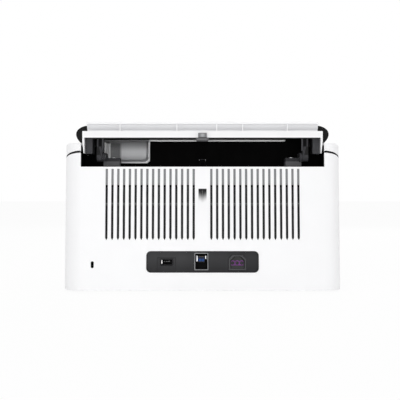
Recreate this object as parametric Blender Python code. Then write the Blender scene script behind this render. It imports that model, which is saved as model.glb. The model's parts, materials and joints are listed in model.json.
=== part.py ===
"""Desktop sheet-fed scanner, built from separate moulded, turned and bent pieces.

Metres, +Z up. The front faces -Y and the rear +Y. The origin is on the surface that the
scanner stands on, under the middle of its body. Left and right are as seen from the front.
"""
import math

import bmesh
import bpy
from mathutils import Matrix, Vector

mm = 0.001

# Body envelope
BODY_WIDTH = 310 * mm
BODY_DEPTH = 198 * mm
BODY_HEIGHT = 190 * mm
TRAY_RISE = 24 * mm
SHOULDER_ROUNDING = 3 * mm
FRONT_SETBACK = 21 * mm
REAR_LEAN = math.radians(4)
REAR_CORNER_RADIUS = 20 * mm
FRONT_CORNER_RADIUS = 14 * mm
SHELL_WALL = 2.5 * mm

# Fits shared by all pieces
FIT = 0.3 * mm
OVERRUN = 8 * mm

# Feet and base plate
FOOT_HEIGHT = 2 * mm
FOOT_RADIUS = 8 * mm
FOOT_SIDE_INSET = 30 * mm
FOOT_END_INSET = 26 * mm
PLATE_THICKNESS = 2.5 * mm

# Hatch hinge at the lower front corners
HATCH_PIVOT_Z = 36 * mm
DRUM_RADIUS = 9 * mm
CRADLE_CLEARANCE = 1.6 * mm
DRUM_LENGTH = 25 * mm
DRUM_INSET = 0.3 * mm
DRUM_FACE_TRIM = 0.1 * mm
HINGE_PIN_RADIUS = 2.5 * mm
HINGE_PIN_GRIP = 12 * mm
HINGE_POST_WIDTH = 5.4 * mm
HINGE_POST_RADIUS = 6 * mm

# Parting between rear cover and hatch
PARTING_DROP = 10 * mm
PARTING_FRONT_RISE = 4 * mm
PARTING_CURVE = 1.2
PARTING_GAP = 1.6 * mm
PARTING_WIDENING_SHARE = 0.5
PARTING_WIDE_LENGTH = 12 * mm

# Bay cut out of the rear wall
SHOULDER_WIDTH = 19 * mm
SILL_DROP = 27 * mm

# Ventilation slits
VENT_COUNT = 16
VENT_PITCH = 6.46 * mm
VENT_INNER_X = 9.8 * mm
VENT_WIDTH = 2.6 * mm
VENT_TOP_DROP = 2 * mm
VENT_OPEN_DROP = 20 * mm
VENT_BOTTOM_Z = 57.5 * mm
VENT_BLIND_DEPTH = 1.2 * mm
VENT_RIB_SHARE = 0.5075
VENT_RIB_HEIGHT = 2 * mm
VENT_RIB_DEPTH = 4.6 * mm
VENT_RIB_SINK = 0.3 * mm

# Centre notch in the rear wall
NOTCH_WIDTH = 9 * mm
NOTCH_BOTTOM_DROP = 40 * mm
NOTCH_TOP_DROP = 24.2 * mm
NOTCH_DEPTH = 5.5 * mm
NOTCH_WALL = 2 * mm

# Lock slot
LOCK_SLOT_INSET = 33 * mm
LOCK_SLOT_WIDTH = 3.3 * mm
LOCK_SLOT_HEIGHT = 7.5 * mm
LOCK_SLOT_Z = 30.4 * mm

# Port panel and sockets
PORT_WIDTH = 124.8 * mm
PORT_HEIGHT = 23.9 * mm
PORT_Z = 33.5 * mm
PORT_RADIUS = 5 * mm
PANEL_LAP = 2 * mm
PANEL_THICKNESS = 2.2 * mm
SOCKET_DEPTH = 14 * mm
SOCKET_WALL = 0.9 * mm
SOCKET_PROUD = 0.4 * mm
DATA_X = 1.3 * mm
DATA_Z = 33.9 * mm
DATA_WIDTH = 15.5 * mm
DATA_HEIGHT = 19.3 * mm
DATA_TONGUE_WIDTH = 7 * mm
DATA_TONGUE_HEIGHT = 6.4 * mm
SERVICE_X = 39.7 * mm
SERVICE_Z = 33.2 * mm
SERVICE_WIDTH = 13.5 * mm
SERVICE_HEIGHT = 7.2 * mm
SERVICE_TONGUE_WIDTH = 9 * mm
SERVICE_TONGUE_HEIGHT = 1.8 * mm
INLET_X = -38.7 * mm
INLET_Z = 32.6 * mm
INLET_WIDTH = 19 * mm
INLET_HEIGHT = 16.5 * mm
INLET_CHAMFER = 4 * mm
INLET_WALL = 1.4 * mm
INSERT_DEPTH = 7 * mm
INLET_PIN_RADIUS = 1 * mm
INLET_PIN_LENGTH = 4.5 * mm
INLET_PIN_PITCH = 5 * mm

# Main board
BOARD_TOP_Z = 20.5 * mm
BOARD_THICKNESS = 1.6 * mm
BOARD_WIDTH = 150 * mm
BOARD_DEPTH = 50 * mm
BOARD_REAR_GAP = 7.5 * mm
BOARD_POST_RADIUS = 3 * mm
BOARD_POST_INSET = 5 * mm

# Paper path, from the bay down and forward to the output
PATH_TOP_SETBACK = 3 * mm
PATH_ENTRY_ANGLE = math.radians(60)
PATH_EXIT_ANGLE = math.radians(14)
PATH_EXIT_INSET = 59 * mm
PATH_EXIT_Z = 32.2 * mm
PATH_BEND_RADIUS = 45 * mm
PATH_BEND_STEPS = 6
PATH_GAP = 1 * mm
GUIDE_THICKNESS = 2.5 * mm
GUIDE_SIDE_GAP = 4 * mm
GUIDE_EXIT_REACH = 19 * mm

# Rollers and gears
ROLLER_RADIUS = 8.5 * mm
ROLLER_HALF_WIDTH = 28 * mm
SHAFT_RADIUS = 3 * mm
SEPARATION_RADIUS = 9 * mm
PINCH_RADIUS = 6 * mm
PINCH_SHAFT_RADIUS = 2 * mm
EXIT_RADIUS = 7 * mm
EXIT_PINCH_RADIUS = 5 * mm
TYRE_CENTRE_X = 60 * mm
TYRE_HALF_WIDTH = 9 * mm
ROLLER_WINDOW_MARGIN = 1 * mm
CARRIER_X = 33 * mm
CARRIER_THICKNESS = 3 * mm
CARRIER_REACH = 5 * mm
CARRIER_HALF_LENGTH = 5 * mm
PINCH_CARRIER_X = 74 * mm
PICK_STATION = 25 * mm
GEAR_MODULE = 1 * mm
GEAR_TEETH = 16
GEAR_WIDTH = 6 * mm
GEAR_ADDENDUM_SHARE = 0.75
GEAR_DEDENDUM_SHARE = 1.15
TOOTH_ROOT_SHARE = 0.27
TOOTH_TIP_SHARE = 0.1

# Metal side plates
SIDE_PLATE_INSET = 29 * mm
SIDE_PLATE_THICKNESS = 2 * mm
SIDE_PLATE_REAR_GAP = 6 * mm
SIDE_PLATE_TOP_GAP = 2 * mm
SIDE_PLATE_MARGIN = 7 * mm
SIDE_PLATE_SLOPE_LENGTH = 24 * mm
SIDE_PLATE_FRONT_LENGTH = 22 * mm

# Scan bars with their glasses
SENSOR_STATION = 75 * mm
SENSOR_WIDTH = 16 * mm
SENSOR_DEPTH = 15.9 * mm
SENSOR_END_GAP = 16 * mm
GLASS_THICKNESS = 0.8 * mm

# Motor and belts
MOTOR_REAR_GAP = 4 * mm
MOTOR_BOARD_GAP = 1 * mm
MOTOR_RADIUS = 17.5 * mm
MOTOR_LENGTH = 22 * mm
MOTOR_SHAFT_RADIUS = 2.5 * mm
MOTOR_SHAFT_DEPTH = 8 * mm
MOTOR_PULLEY_RADIUS = 5 * mm
DRIVE_PULLEY_RADIUS = 12 * mm
BELT_WIDTH = 5 * mm
BELT_THICKNESS = 1.2 * mm
BELT_SIDE_GAP = 2 * mm
PULLEY_FLANGE = 0.8 * mm
EXIT_DRIVE_PULLEY_RADIUS = 8.5 * mm
EXIT_PULLEY_RADIUS = 7 * mm

# Paper bay tub of the hatch
TUB_FRONT_GAP = 2.3 * mm
TUB_REAR_GAP = 5.4 * mm
TUB_WALL = 2.2 * mm
DECK_DROP = 3 * mm
DECK_THICKNESS = 2.5 * mm
BAY_WALL_SETBACK = 43.4 * mm
BAY_WALL_THICKNESS = 4 * mm
BAY_WALL_RISE = 8 * mm
BAY_WALL_SIDE_GAP = 11.7 * mm
BAY_FLOOR_DROP = 1.5 * mm
BAY_FLOOR_GAP = 13.4 * mm
CATCH_WIDTH = 8 * mm
CATCH_HEIGHT = 7 * mm
CATCH_THICKNESS = 2 * mm
CATCH_SETBACK = 19.4 * mm
ENTRY_LIP_GAP = 4 * mm
ENTRY_LIP_THICKNESS = 2.4 * mm

# Light grey pocket and rim strip of the bay wall
POCKET_WIDTH = 53 * mm
POCKET_SIDE_GAP = 22 * mm
POCKET_RISE = 5.6 * mm
POCKET_DEPTH = 12 * mm
POCKET_WALL = 1.8 * mm
POCKET_CHAMFER = 3 * mm
POCKET_DRAFT = 3 * mm
POCKET_EDGE = 0.6 * mm
RIM_SIDE_GAP = 39.5 * mm
RIM_RISE = 3.9 * mm
RIM_HEIGHT = 2 * mm
RIM_DEPTH = 1.6 * mm

# Tray hinge
TRAY_PIVOT_SETBACK = 7.4 * mm
TRAY_PIVOT_RISE = 11 * mm
TRAY_PIN_RADIUS = 2.5 * mm
EYE_RADIUS = 5 * mm
BRACKET_SIDE_GAP = 24 * mm
BRACKET_WIDTH = 18 * mm
BRACKET_EAR_WIDTH = 3 * mm
BRACKET_DROP = 0.5 * mm
BRACKET_SETBACK = 31.4 * mm
ARM_WIDTH = 6 * mm
ARM_TIE_HEIGHT = 4.4 * mm
ARM_TIE_SETBACK = 27.4 * mm
SIDE_BLOCK_WIDTH = 10.5 * mm
SIDE_BLOCK_SETBACK = 27.4 * mm
SIDE_BLOCK_REAR_GAP = 9.4 * mm

# White hinge-end frame of the tray
FRAME_SIDE_GAP = 1.5 * mm
FRAME_WALL = 2.3 * mm
FRAME_SETBACK = 37.4 * mm
FRAME_REAR_GAP = 2.4 * mm
FRAME_RISE = 4 * mm
FRAME_TOP_DROP = 11 * mm
FRAME_BAND_HEIGHT = 8 * mm
FRAME_TAPER = 1.4 * mm
TAB_WIDTH = 9.6 * mm
TAB_HEIGHT = 8.5 * mm
TAB_THICKNESS = 1.8 * mm
TAB_FOOT_WIDTH = 14 * mm
TAB_FOOT_HEIGHT = 2.6 * mm

# Tray lid, cheeks and pan
LID_SIDE_GAP = 5 * mm
LID_THICKNESS = 2.5 * mm
LID_REAR_SETBACK = 31.4 * mm
LID_FRONT_OVERHANG = 1 * mm
LID_FLOAT = 1.3 * mm
LID_EAVE = 22 * mm
LID_RIB_SHARES = (0.71, 0.2206, -0.1224, -0.346, -0.7308)
LID_RIB_THICKNESS = 1.2 * mm
LID_RIB_LENGTH = 21 * mm
CHEEK_SIDE_GAP = 8 * mm
CHEEK_SETBACK = 39.4 * mm
CHEEK_FLOAT = 1 * mm
CHEEK_TOP_DROP = 1.4 * mm
CHEEK_CROWN_WIDTH = 15.5 * mm
CHEEK_CROWN_HEIGHT = 10 * mm
CHEEK_TUCK = 7 * mm
CHEEK_STEPS = 8
PAN_SETBACK = 57.4 * mm
PAN_FRONT_SETBACK = 7 * mm
PAN_DROP = 13 * mm
PAN_THICKNESS = 3 * mm
PAN_WALL = 2.5 * mm

# Tray extension and its rails
EXTENSION_SIDE_GAP = 31 * mm
EXTENSION_RISE = 2 * mm
EXTENSION_THICKNESS = 3 * mm
EXTENSION_SETBACK = 12 * mm
EXTENSION_GRIP_RADIUS = 14 * mm
RAIL_WALL = 2 * mm
RAIL_LEDGE = 3.3 * mm
RAIL_LEDGE_THICKNESS = 1.8 * mm
RAIL_SETBACK = 2 * mm

# Width guides, racks and pinion
PINION_Y = -15 * mm
PINION_STUD_RADIUS = 3 * mm
RACK_HEIGHT = 4 * mm
RACK_BACK = 4.8 * mm
RACK_TEETH = 24
RACK_INNER_X = -14 * mm
GUIDE_TRAVEL = 50 * mm
WIDTH_GUIDE_SIDE_GAP = 21 * mm
WIDTH_GUIDE_THICKNESS = 2 * mm
WIDTH_GUIDE_LENGTH = 60 * mm
WIDTH_GUIDE_FLOAT = 2.8 * mm
WIDTH_GUIDE_STEM = 10 * mm
WIDTH_GUIDE_FOOT = 14 * mm
SLOT_MARGIN = 0.5 * mm

# Output tray, its extension and the paper stop
OUTPUT_SIDE_GAP = 37 * mm
OUTPUT_FRONT_INSET = 0.5 * mm
OUTPUT_REAR_GAP = 64 * mm
OUTPUT_THICKNESS = 2 * mm
OUTPUT_RIM_HEIGHT = 7.2 * mm
OUTPUT_RIM_WALL = 3 * mm
OUTPUT_SLIDE_GAP = 1 * mm
OUTER_EXTENSION_HALF = 60 * mm
OUTER_EXTENSION_SETBACK = 15 * mm
OUTER_EXTENSION_THICKNESS = 2 * mm
STOP_HALF_WIDTH = 18 * mm
STOP_LENGTH = 24 * mm
STOP_THICKNESS = 2.4 * mm
STOP_FRONT_INSET = 9.5 * mm
STOP_PIN_RADIUS = 0.7 * mm
STOP_EAR_WIDTH = 2.4 * mm
STOP_EAR_HALF_LENGTH = 2.4 * mm
STOP_BORE_GAP = 0.25 * mm
TRAY_RAIL_WIDTH = 2 * mm
TRAY_RAIL_HEIGHT = 5.5 * mm
OPENING_MARGIN = 1 * mm

# Control panel on the front of the hatch
PANEL_SIDE_GAP = 68 * mm
PANEL_DROP = 48 * mm
BEZEL_WIDTH = 53 * mm
BEZEL_HEIGHT = 22 * mm
BEZEL_FACE = 2.2 * mm
BEZEL_DEPTH = 7.5 * mm
BEZEL_RIM = 1.5 * mm
BUTTON_COUNT = 4
BUTTON_PITCH = 12 * mm
BUTTON_RADIUS = 4 * mm
BUTTON_FLANGE_RADIUS = 5 * mm
BUTTON_FLANGE = 1 * mm
BUTTON_STEM = 1.2 * mm
BUTTON_PROUD = 1 * mm

# Facets of round pieces
CORNER_STEPS = 8
FINE_SIDES = 32
ROUND_SIDES = 20
SMALL_SIDES = 16
PARTING_STEPS = 14
BELT_STEPS = 8
SMOOTH_ANGLE = math.radians(28)
QUARTER = math.pi / 2

# Colour, roughness and metallic value of each finish
FINISHES = {
    "white": ((0.86, 0.86, 0.85), 0.45, 0.0),
    "light_grey": ((0.55, 0.56, 0.56), 0.5, 0.0),
    "mid_grey": ((0.07, 0.07, 0.075), 0.5, 0.0),
    "black": ((0.012, 0.012, 0.013), 0.5, 0.0),
    "rubber": ((0.02, 0.02, 0.02), 0.8, 0.0),
    "steel": ((0.6, 0.6, 0.6), 0.3, 1.0),
    "blue": ((0.02, 0.12, 0.45), 0.4, 0.0),
    "purple": ((0.12, 0.04, 0.2), 0.45, 0.0),
    "green": ((0.02, 0.16, 0.06), 0.5, 0.0),
    "natural": ((0.7, 0.68, 0.6), 0.45, 0.0),
    "glass": ((0.3, 0.36, 0.36), 0.05, 0.0),
}

# Heights worked out from the sizes above
SHOULDER_HEIGHT = BODY_HEIGHT - TRAY_RISE
PARTING_REAR_Z = SHOULDER_HEIGHT - PARTING_DROP
PARTING_FRONT_Z = HATCH_PIVOT_Z + PARTING_FRONT_RISE
SILL_Z = SHOULDER_HEIGHT - SILL_DROP
VENT_TOP_Z = SILL_Z - VENT_TOP_DROP
VENT_OPEN_Z = SILL_Z - VENT_OPEN_DROP
VENT_RIB_Z = VENT_BOTTOM_Z + VENT_RIB_SHARE * (VENT_TOP_Z - VENT_BOTTOM_Z)
NOTCH_BOTTOM_Z = SILL_Z - NOTCH_BOTTOM_DROP
NOTCH_TOP_Z = SILL_Z - NOTCH_TOP_DROP
PLATE_TOP_Z = FOOT_HEIGHT + PLATE_THICKNESS
OUTPUT_Z = PLATE_TOP_Z + FIT
MOTOR_Z = BOARD_TOP_Z + MOTOR_BOARD_GAP + MOTOR_RADIUS
DECK_Z = SILL_Z - DECK_DROP
DECK_TOP_Z = DECK_Z + DECK_THICKNESS
TUB_TOP_Z = SHOULDER_HEIGHT - SHELL_WALL - FIT
BAY_WALL_TOP_Z = SHOULDER_HEIGHT + BAY_WALL_RISE
BAY_FLOOR_Z = SILL_Z - BAY_FLOOR_DROP
BAY_FLOOR_TOP_Z = BAY_FLOOR_Z + DECK_THICKNESS
POCKET_BOTTOM_Z = SILL_Z + POCKET_RISE
RIM_Z = SHOULDER_HEIGHT + RIM_RISE
RIM_TOP_Z = RIM_Z + RIM_HEIGHT
TRAY_PIVOT_Z = SILL_Z + TRAY_PIVOT_RISE
BRACKET_TOP_Z = TRAY_PIVOT_Z - BRACKET_DROP
FRAME_BOTTOM_Z = TRAY_PIVOT_Z + FRAME_RISE
FRAME_TOP_Z = BODY_HEIGHT - FRAME_TOP_DROP
FRAME_BAND_Z = FRAME_TOP_Z - FRAME_BAND_HEIGHT
LID_BOTTOM_Z = SHOULDER_HEIGHT + LID_FLOAT
LID_INNER_Z = BODY_HEIGHT - LID_THICKNESS
CHEEK_BOTTOM_Z = SHOULDER_HEIGHT + CHEEK_FLOAT
CHEEK_TOP_Z = BODY_HEIGHT - CHEEK_TOP_DROP
PAN_Z = SHOULDER_HEIGHT - PAN_DROP
PAN_TOP_Z = PAN_Z + PAN_THICKNESS
EXTENSION_Z = SHOULDER_HEIGHT + EXTENSION_RISE
WIDTH_GUIDE_BOTTOM_Z = DECK_TOP_Z + WIDTH_GUIDE_FLOAT
PANEL_Z = SHOULDER_HEIGHT - PANEL_DROP

# Places across the width
HALF_WIDTH = BODY_WIDTH / 2
DRUM_INNER_X = HALF_WIDTH - DRUM_LENGTH
BAY_HALF_WIDTH = HALF_WIDTH - SHOULDER_WIDTH
LOCK_SLOT_X = HALF_WIDTH - LOCK_SLOT_INSET
SIDE_PLATE_X = HALF_WIDTH - SIDE_PLATE_INSET
GUIDE_HALF_WIDTH = SIDE_PLATE_X - GUIDE_SIDE_GAP
SENSOR_HALF_LENGTH = SIDE_PLATE_X - SENSOR_END_GAP
GEAR_X = SIDE_PLATE_X + SIDE_PLATE_THICKNESS + FIT
EXIT_BELT_X = GEAR_X + GEAR_WIDTH + BELT_SIDE_GAP
MOTOR_BELT_X = -(SIDE_PLATE_X + SIDE_PLATE_THICKNESS + BELT_SIDE_GAP + BELT_WIDTH)
BAY_WALL_UPPER_HALF = BAY_HALF_WIDTH - BAY_WALL_SIDE_GAP
POCKET_RIGHT_X = BAY_HALF_WIDTH - POCKET_SIDE_GAP
POCKET_LEFT_X = POCKET_RIGHT_X - POCKET_WIDTH
RIM_LEFT_X = RIM_SIDE_GAP - BAY_HALF_WIDTH
BRACKET_OUTER_X = BAY_HALF_WIDTH - BRACKET_SIDE_GAP
BRACKET_INNER_X = BRACKET_OUTER_X - BRACKET_WIDTH
ARM_INNER_X = BRACKET_OUTER_X + FIT
FRAME_HALF_WIDTH = BAY_HALF_WIDTH - FRAME_SIDE_GAP
SIDE_BLOCK_INNER_X = FRAME_HALF_WIDTH - SIDE_BLOCK_WIDTH
LID_HALF_WIDTH = BAY_HALF_WIDTH - LID_SIDE_GAP
CHEEK_HALF_WIDTH = HALF_WIDTH - CHEEK_SIDE_GAP
EXTENSION_HALF_WIDTH = LID_HALF_WIDTH - EXTENSION_SIDE_GAP
WIDTH_GUIDE_X = LID_HALF_WIDTH - WIDTH_GUIDE_SIDE_GAP
OUTPUT_HALF_WIDTH = HALF_WIDTH - OUTPUT_SIDE_GAP
OPENING_HALF_WIDTH = OUTPUT_HALF_WIDTH + OPENING_MARGIN
PANEL_X = HALF_WIDTH - PANEL_SIDE_GAP
BUTTON_PLACES = [(index - (BUTTON_COUNT - 1) / 2) * BUTTON_PITCH
                 for index in range(BUTTON_COUNT)]

# Places from front to rear
HALF_DEPTH = BODY_DEPTH / 2
SILL_REAR_Y = HALF_DEPTH - (SILL_Z - FOOT_HEIGHT) * math.tan(REAR_LEAN)
MOTOR_REAR_Y = HALF_DEPTH - (MOTOR_Z - FOOT_HEIGHT) * math.tan(REAR_LEAN) - SHELL_WALL
MOTOR_Y = MOTOR_REAR_Y - MOTOR_REAR_GAP - MOTOR_RADIUS
FRONT_LEAN = math.atan2(FRONT_SETBACK, SHOULDER_HEIGHT - HATCH_PIVOT_Z)
HATCH_PIVOT_Y = -HALF_DEPTH + DRUM_RADIUS + DRUM_INSET
CRADLE_RADIUS = DRUM_RADIUS + CRADLE_CLEARANCE
TUB_FRONT_Y = -HALF_DEPTH + FRONT_SETBACK + TUB_FRONT_GAP
TUB_REAR_Y = SILL_REAR_Y - TUB_REAR_GAP
BAY_WALL_FRONT_Y = SILL_REAR_Y - BAY_WALL_SETBACK
BAY_WALL_REAR_Y = BAY_WALL_FRONT_Y + BAY_WALL_THICKNESS
BAY_FLOOR_REAR_Y = SILL_REAR_Y - BAY_FLOOR_GAP
CATCH_Y = SILL_REAR_Y - CATCH_SETBACK
POCKET_FRONT_Y = BAY_WALL_REAR_Y - POCKET_DEPTH
TRAY_PIVOT_Y = SILL_REAR_Y - TRAY_PIVOT_SETBACK
BRACKET_FRONT_Y = SILL_REAR_Y - BRACKET_SETBACK
ARM_TIE_FRONT_Y = SILL_REAR_Y - ARM_TIE_SETBACK
SIDE_BLOCK_FRONT_Y = SILL_REAR_Y - SIDE_BLOCK_SETBACK
SIDE_BLOCK_REAR_Y = SILL_REAR_Y - SIDE_BLOCK_REAR_GAP
FRAME_FRONT_Y = SILL_REAR_Y - FRAME_SETBACK
FRAME_REAR_Y = SILL_REAR_Y - FRAME_REAR_GAP
LID_REAR_Y = SILL_REAR_Y - LID_REAR_SETBACK
LID_FRONT_Y = -HALF_DEPTH + FRONT_SETBACK - LID_FRONT_OVERHANG
CHEEK_REAR_Y = SILL_REAR_Y - CHEEK_SETBACK
PAN_REAR_Y = SILL_REAR_Y - PAN_SETBACK
PAN_FRONT_Y = LID_FRONT_Y + PAN_FRONT_SETBACK
RAIL_REAR_Y = PAN_REAR_Y - RAIL_SETBACK
EXTENSION_REAR_Y = PAN_REAR_Y - EXTENSION_SETBACK
OUTPUT_REAR_Y = HALF_DEPTH - OUTPUT_REAR_GAP
OUTER_EXTENSION_REAR_Y = OUTPUT_REAR_Y - OUTER_EXTENSION_SETBACK

# Paper path from the sill to the output: the straight lengths before and after its bend
PATH_TOP_Y = TRAY_PIVOT_Y - PATH_TOP_SETBACK
PATH_TOP_Z = SILL_Z
PATH_TURN = PATH_ENTRY_ANGLE - PATH_EXIT_ANGLE
BEND_REACH = PATH_BEND_RADIUS * (math.sin(PATH_ENTRY_ANGLE) - math.sin(PATH_EXIT_ANGLE))
BEND_FALL = PATH_BEND_RADIUS * (math.cos(PATH_EXIT_ANGLE) - math.cos(PATH_ENTRY_ANGLE))
PATH_REACH = PATH_TOP_Y + HALF_DEPTH - PATH_EXIT_INSET - BEND_REACH
PATH_FALL = PATH_TOP_Z - PATH_EXIT_Z - BEND_FALL
PATH_DROP_LENGTH = (PATH_FALL * math.cos(PATH_EXIT_ANGLE)
                    - PATH_REACH * math.sin(PATH_EXIT_ANGLE)) / math.sin(PATH_TURN)
PATH_RUN_LENGTH = (PATH_REACH * math.sin(PATH_ENTRY_ANGLE)
                   - PATH_FALL * math.cos(PATH_ENTRY_ANGLE)) / math.sin(PATH_TURN)
PATH_BEND_LENGTH = PATH_BEND_RADIUS * PATH_TURN
PATH_BEND_END = PATH_DROP_LENGTH + PATH_BEND_LENGTH
GEAR_RADIUS = GEAR_MODULE * GEAR_TEETH / 2
IDLER_STATION = PICK_STATION + 2 * GEAR_RADIUS
DRIVE_STATION = IDLER_STATION + 2 * GEAR_RADIUS
EXIT_STATION = PATH_BEND_END + PATH_RUN_LENGTH
GUIDE_END_STATION = EXIT_STATION + GUIDE_EXIT_REACH


# Building blocks

def clear_scene():
    """Remove the objects that are in the scene."""
    for item in list(bpy.data.objects):
        bpy.data.objects.remove(item)


def finish_material(name):
    """The Principled material of one finish."""
    if name in bpy.data.materials:
        return bpy.data.materials[name]
    colour, roughness, metallic = FINISHES[name]
    material = bpy.data.materials.new(name)
    material.use_nodes = True
    shader = material.node_tree.nodes["Principled BSDF"]
    shader.inputs["Base Color"].default_value = (*colour, 1.0)
    shader.inputs["Roughness"].default_value = roughness
    shader.inputs["Metallic"].default_value = metallic
    return material


def from_rings(rings):
    """A closed body through rings of points, each with the same number of points."""
    shape = bmesh.new()
    levels = [[shape.verts.new(point) for point in ring] for ring in rings]
    for lower, upper in zip(levels, levels[1:]):
        for index, corner in enumerate(lower):
            after = (index + 1) % len(lower)
            shape.faces.new((corner, lower[after], upper[after], upper[index]))
    shape.faces.new(levels[0])
    shape.faces.new(levels[-1])
    bmesh.ops.recalc_face_normals(shape, faces=shape.faces)
    mesh = bpy.data.meshes.new("shape")
    shape.to_mesh(mesh)
    shape.free()
    item = bpy.data.objects.new("shape", mesh)
    bpy.context.scene.collection.objects.link(item)
    return item


def prism_x(profile, low, high):
    """A body from a (y, z) outline, drawn out along X."""
    return from_rings([[(x, y, z) for y, z in profile] for x in (low, high)])


def prism_y(profile, low, high):
    """A body from an (x, z) outline, drawn out along Y."""
    return from_rings([[(x, y, z) for x, z in profile] for y in (low, high)])


def prism_z(profile, low, high):
    """A body from an (x, y) outline, drawn out along Z."""
    return from_rings([[(x, y, z) for x, y in profile] for z in (low, high)])


def box(left, right, front, rear, bottom, top):
    """A rectangular block between two values on each axis."""
    outline = [(left, front), (right, front), (right, rear), (left, rear)]
    return prism_z(outline, bottom, top)


def arc(centre, radius, start, end, steps):
    """Points on an arc in a plane, both ends included."""
    points = []
    for step in range(steps + 1):
        angle = start + (end - start) * step / steps
        x = centre[0] + radius * math.cos(angle)
        y = centre[1] + radius * math.sin(angle)
        points.append((x, y))
    return points


def circle(centre, radius, sides):
    """The corners of a regular polygon that stands for a circle."""
    return arc(centre, radius, 0, 2 * math.pi, sides)[:-1]


def rounded_rectangle(centre, width, height, radius, steps):
    """A rectangle with four equal rounded corners."""
    across = width / 2 - radius
    along = height / 2 - radius
    points = []
    for quarter, (side, end) in enumerate(((1, 1), (-1, 1), (-1, -1), (1, -1))):
        corner = (centre[0] + side * across, centre[1] + end * along)
        start = quarter * QUARTER
        points += arc(corner, radius, start, start + QUARTER, steps)
    return points


def turned_x(profile, y, z, sides):
    """A turned body about an axis along X, from (x, radius) steps."""
    return from_rings([[(x, *point) for point in circle((y, z), radius, sides)]
                       for x, radius in profile])


def cylinder_x(radius, low, high, y, z, sides):
    """A round bar along X."""
    return prism_x(circle((y, z), radius, sides), low, high)


def combine(target, tools, operation):
    """Apply one exact Boolean for each tool and remove the tools."""
    for tool in tools:
        modifier = target.modifiers.new("combine", "BOOLEAN")
        modifier.operation = operation
        modifier.solver = "EXACT"
        modifier.object = tool
        bpy.context.view_layer.update()
        graph = bpy.context.evaluated_depsgraph_get()
        mesh = bpy.data.meshes.new_from_object(target.evaluated_get(graph))
        target.modifiers.clear()
        target.data = mesh
        bpy.data.objects.remove(tool)
    return target


def fuse(target, *tools):
    """Join overlapping bodies into one."""
    return combine(target, tools, "UNION")


def carve(target, *tools):
    """Cut tools out of a body."""
    return combine(target, tools, "DIFFERENCE")


def shared(target, tool):
    """What two bodies have in common."""
    return combine(target, [tool], "INTERSECT")


def gather(items):
    """Put bodies that don't touch each other into one object."""
    shape = bmesh.new()
    for item in items:
        shape.from_mesh(item.data)
        bpy.data.objects.remove(item)
    mesh = bpy.data.meshes.new("shape")
    shape.to_mesh(mesh)
    shape.free()
    gathered = bpy.data.objects.new("shape", mesh)
    bpy.context.scene.collection.objects.link(gathered)
    return gathered


def turn_x(item, y, z, angle):
    """Turn a mesh about an axis along X."""
    about = Matrix.Translation((0, y, z))
    turn = about @ Matrix.Rotation(angle, 4, "X") @ about.inverted()
    item.data.transform(turn)
    return item


def leaned(item):
    """Lean a body that was built on an upright rear wall, as the rear wall leans."""
    return turn_x(item, HALF_DEPTH, FOOT_HEIGHT, REAR_LEAN)


def mirrored(item):
    """Mirror a mesh to the other side of the middle."""
    item.data.transform(Matrix.Scale(-1, 4, (1, 0, 0)))
    item.data.flip_normals()
    return item


def half_turned(item, y):
    """Turn a mesh half round an upright axis in the middle."""
    about = Matrix.Translation((0, y, 0))
    item.data.transform(about @ Matrix.Rotation(math.pi, 4, "Z") @ about.inverted())
    return item


def piece(item, name, finish):
    """Name a body, give it its finish and shade its round faces smooth."""
    item.name = name
    item.data.name = name
    item.data.materials.clear()
    item.data.materials.append(finish_material(finish))
    item.data.shade_smooth()
    item.data.set_sharp_from_angle(angle=SMOOTH_ANGLE)
    return item


# Body outline and paper path

def rear_y(z):
    """The rear wall's outer face at a height."""
    return HALF_DEPTH - (z - FOOT_HEIGHT) * math.tan(REAR_LEAN)


def front_y(z):
    """The front wall's outer face at a height."""
    return -HALF_DEPTH + max(z - HATCH_PIVOT_Z, 0) * math.tan(FRONT_LEAN)


def body_ring(z, inset):
    """One level of the body, a rounded rectangle seen from above."""
    side = HALF_WIDTH - inset
    front = front_y(z) + inset
    rear = rear_y(z) - inset
    rear_radius = REAR_CORNER_RADIUS - inset
    front_radius = FRONT_CORNER_RADIUS - inset
    corners = (
        (side - rear_radius, rear - rear_radius, rear_radius),
        (rear_radius - side, rear - rear_radius, rear_radius),
        (front_radius - side, front + front_radius, front_radius),
        (side - front_radius, front + front_radius, front_radius),
    )
    points = []
    for quarter, (x, y, radius) in enumerate(corners):
        start = quarter * QUARTER
        points += arc((x, y), radius, start, start + QUARTER, CORNER_STEPS)
    return [(x, y, z) for x, y in points]


def body_block(bottom, top, inset, rounding=0):
    """The body's outline between two heights, its top edge rounded if asked."""
    levels = [(bottom, inset)]
    if bottom < HATCH_PIVOT_Z < top:
        levels.append((HATCH_PIVOT_Z, inset))
    if rounding:
        for up, inward in arc((top - rounding, rounding), rounding, -QUARTER, 0, 4):
            levels.append((up, inset + inward))
    else:
        levels.append((top, inset))
    return from_rings([body_ring(z, distance) for z, distance in levels])


def parting_z(y):
    """The height of the curved parting between rear cover and hatch."""
    rear = rear_y(PARTING_REAR_Z)
    share = max(rear - y, 0) / (rear - HATCH_PIVOT_Y)
    return PARTING_REAR_Z - (PARTING_REAR_Z - PARTING_FRONT_Z) * share ** PARTING_CURVE


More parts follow.
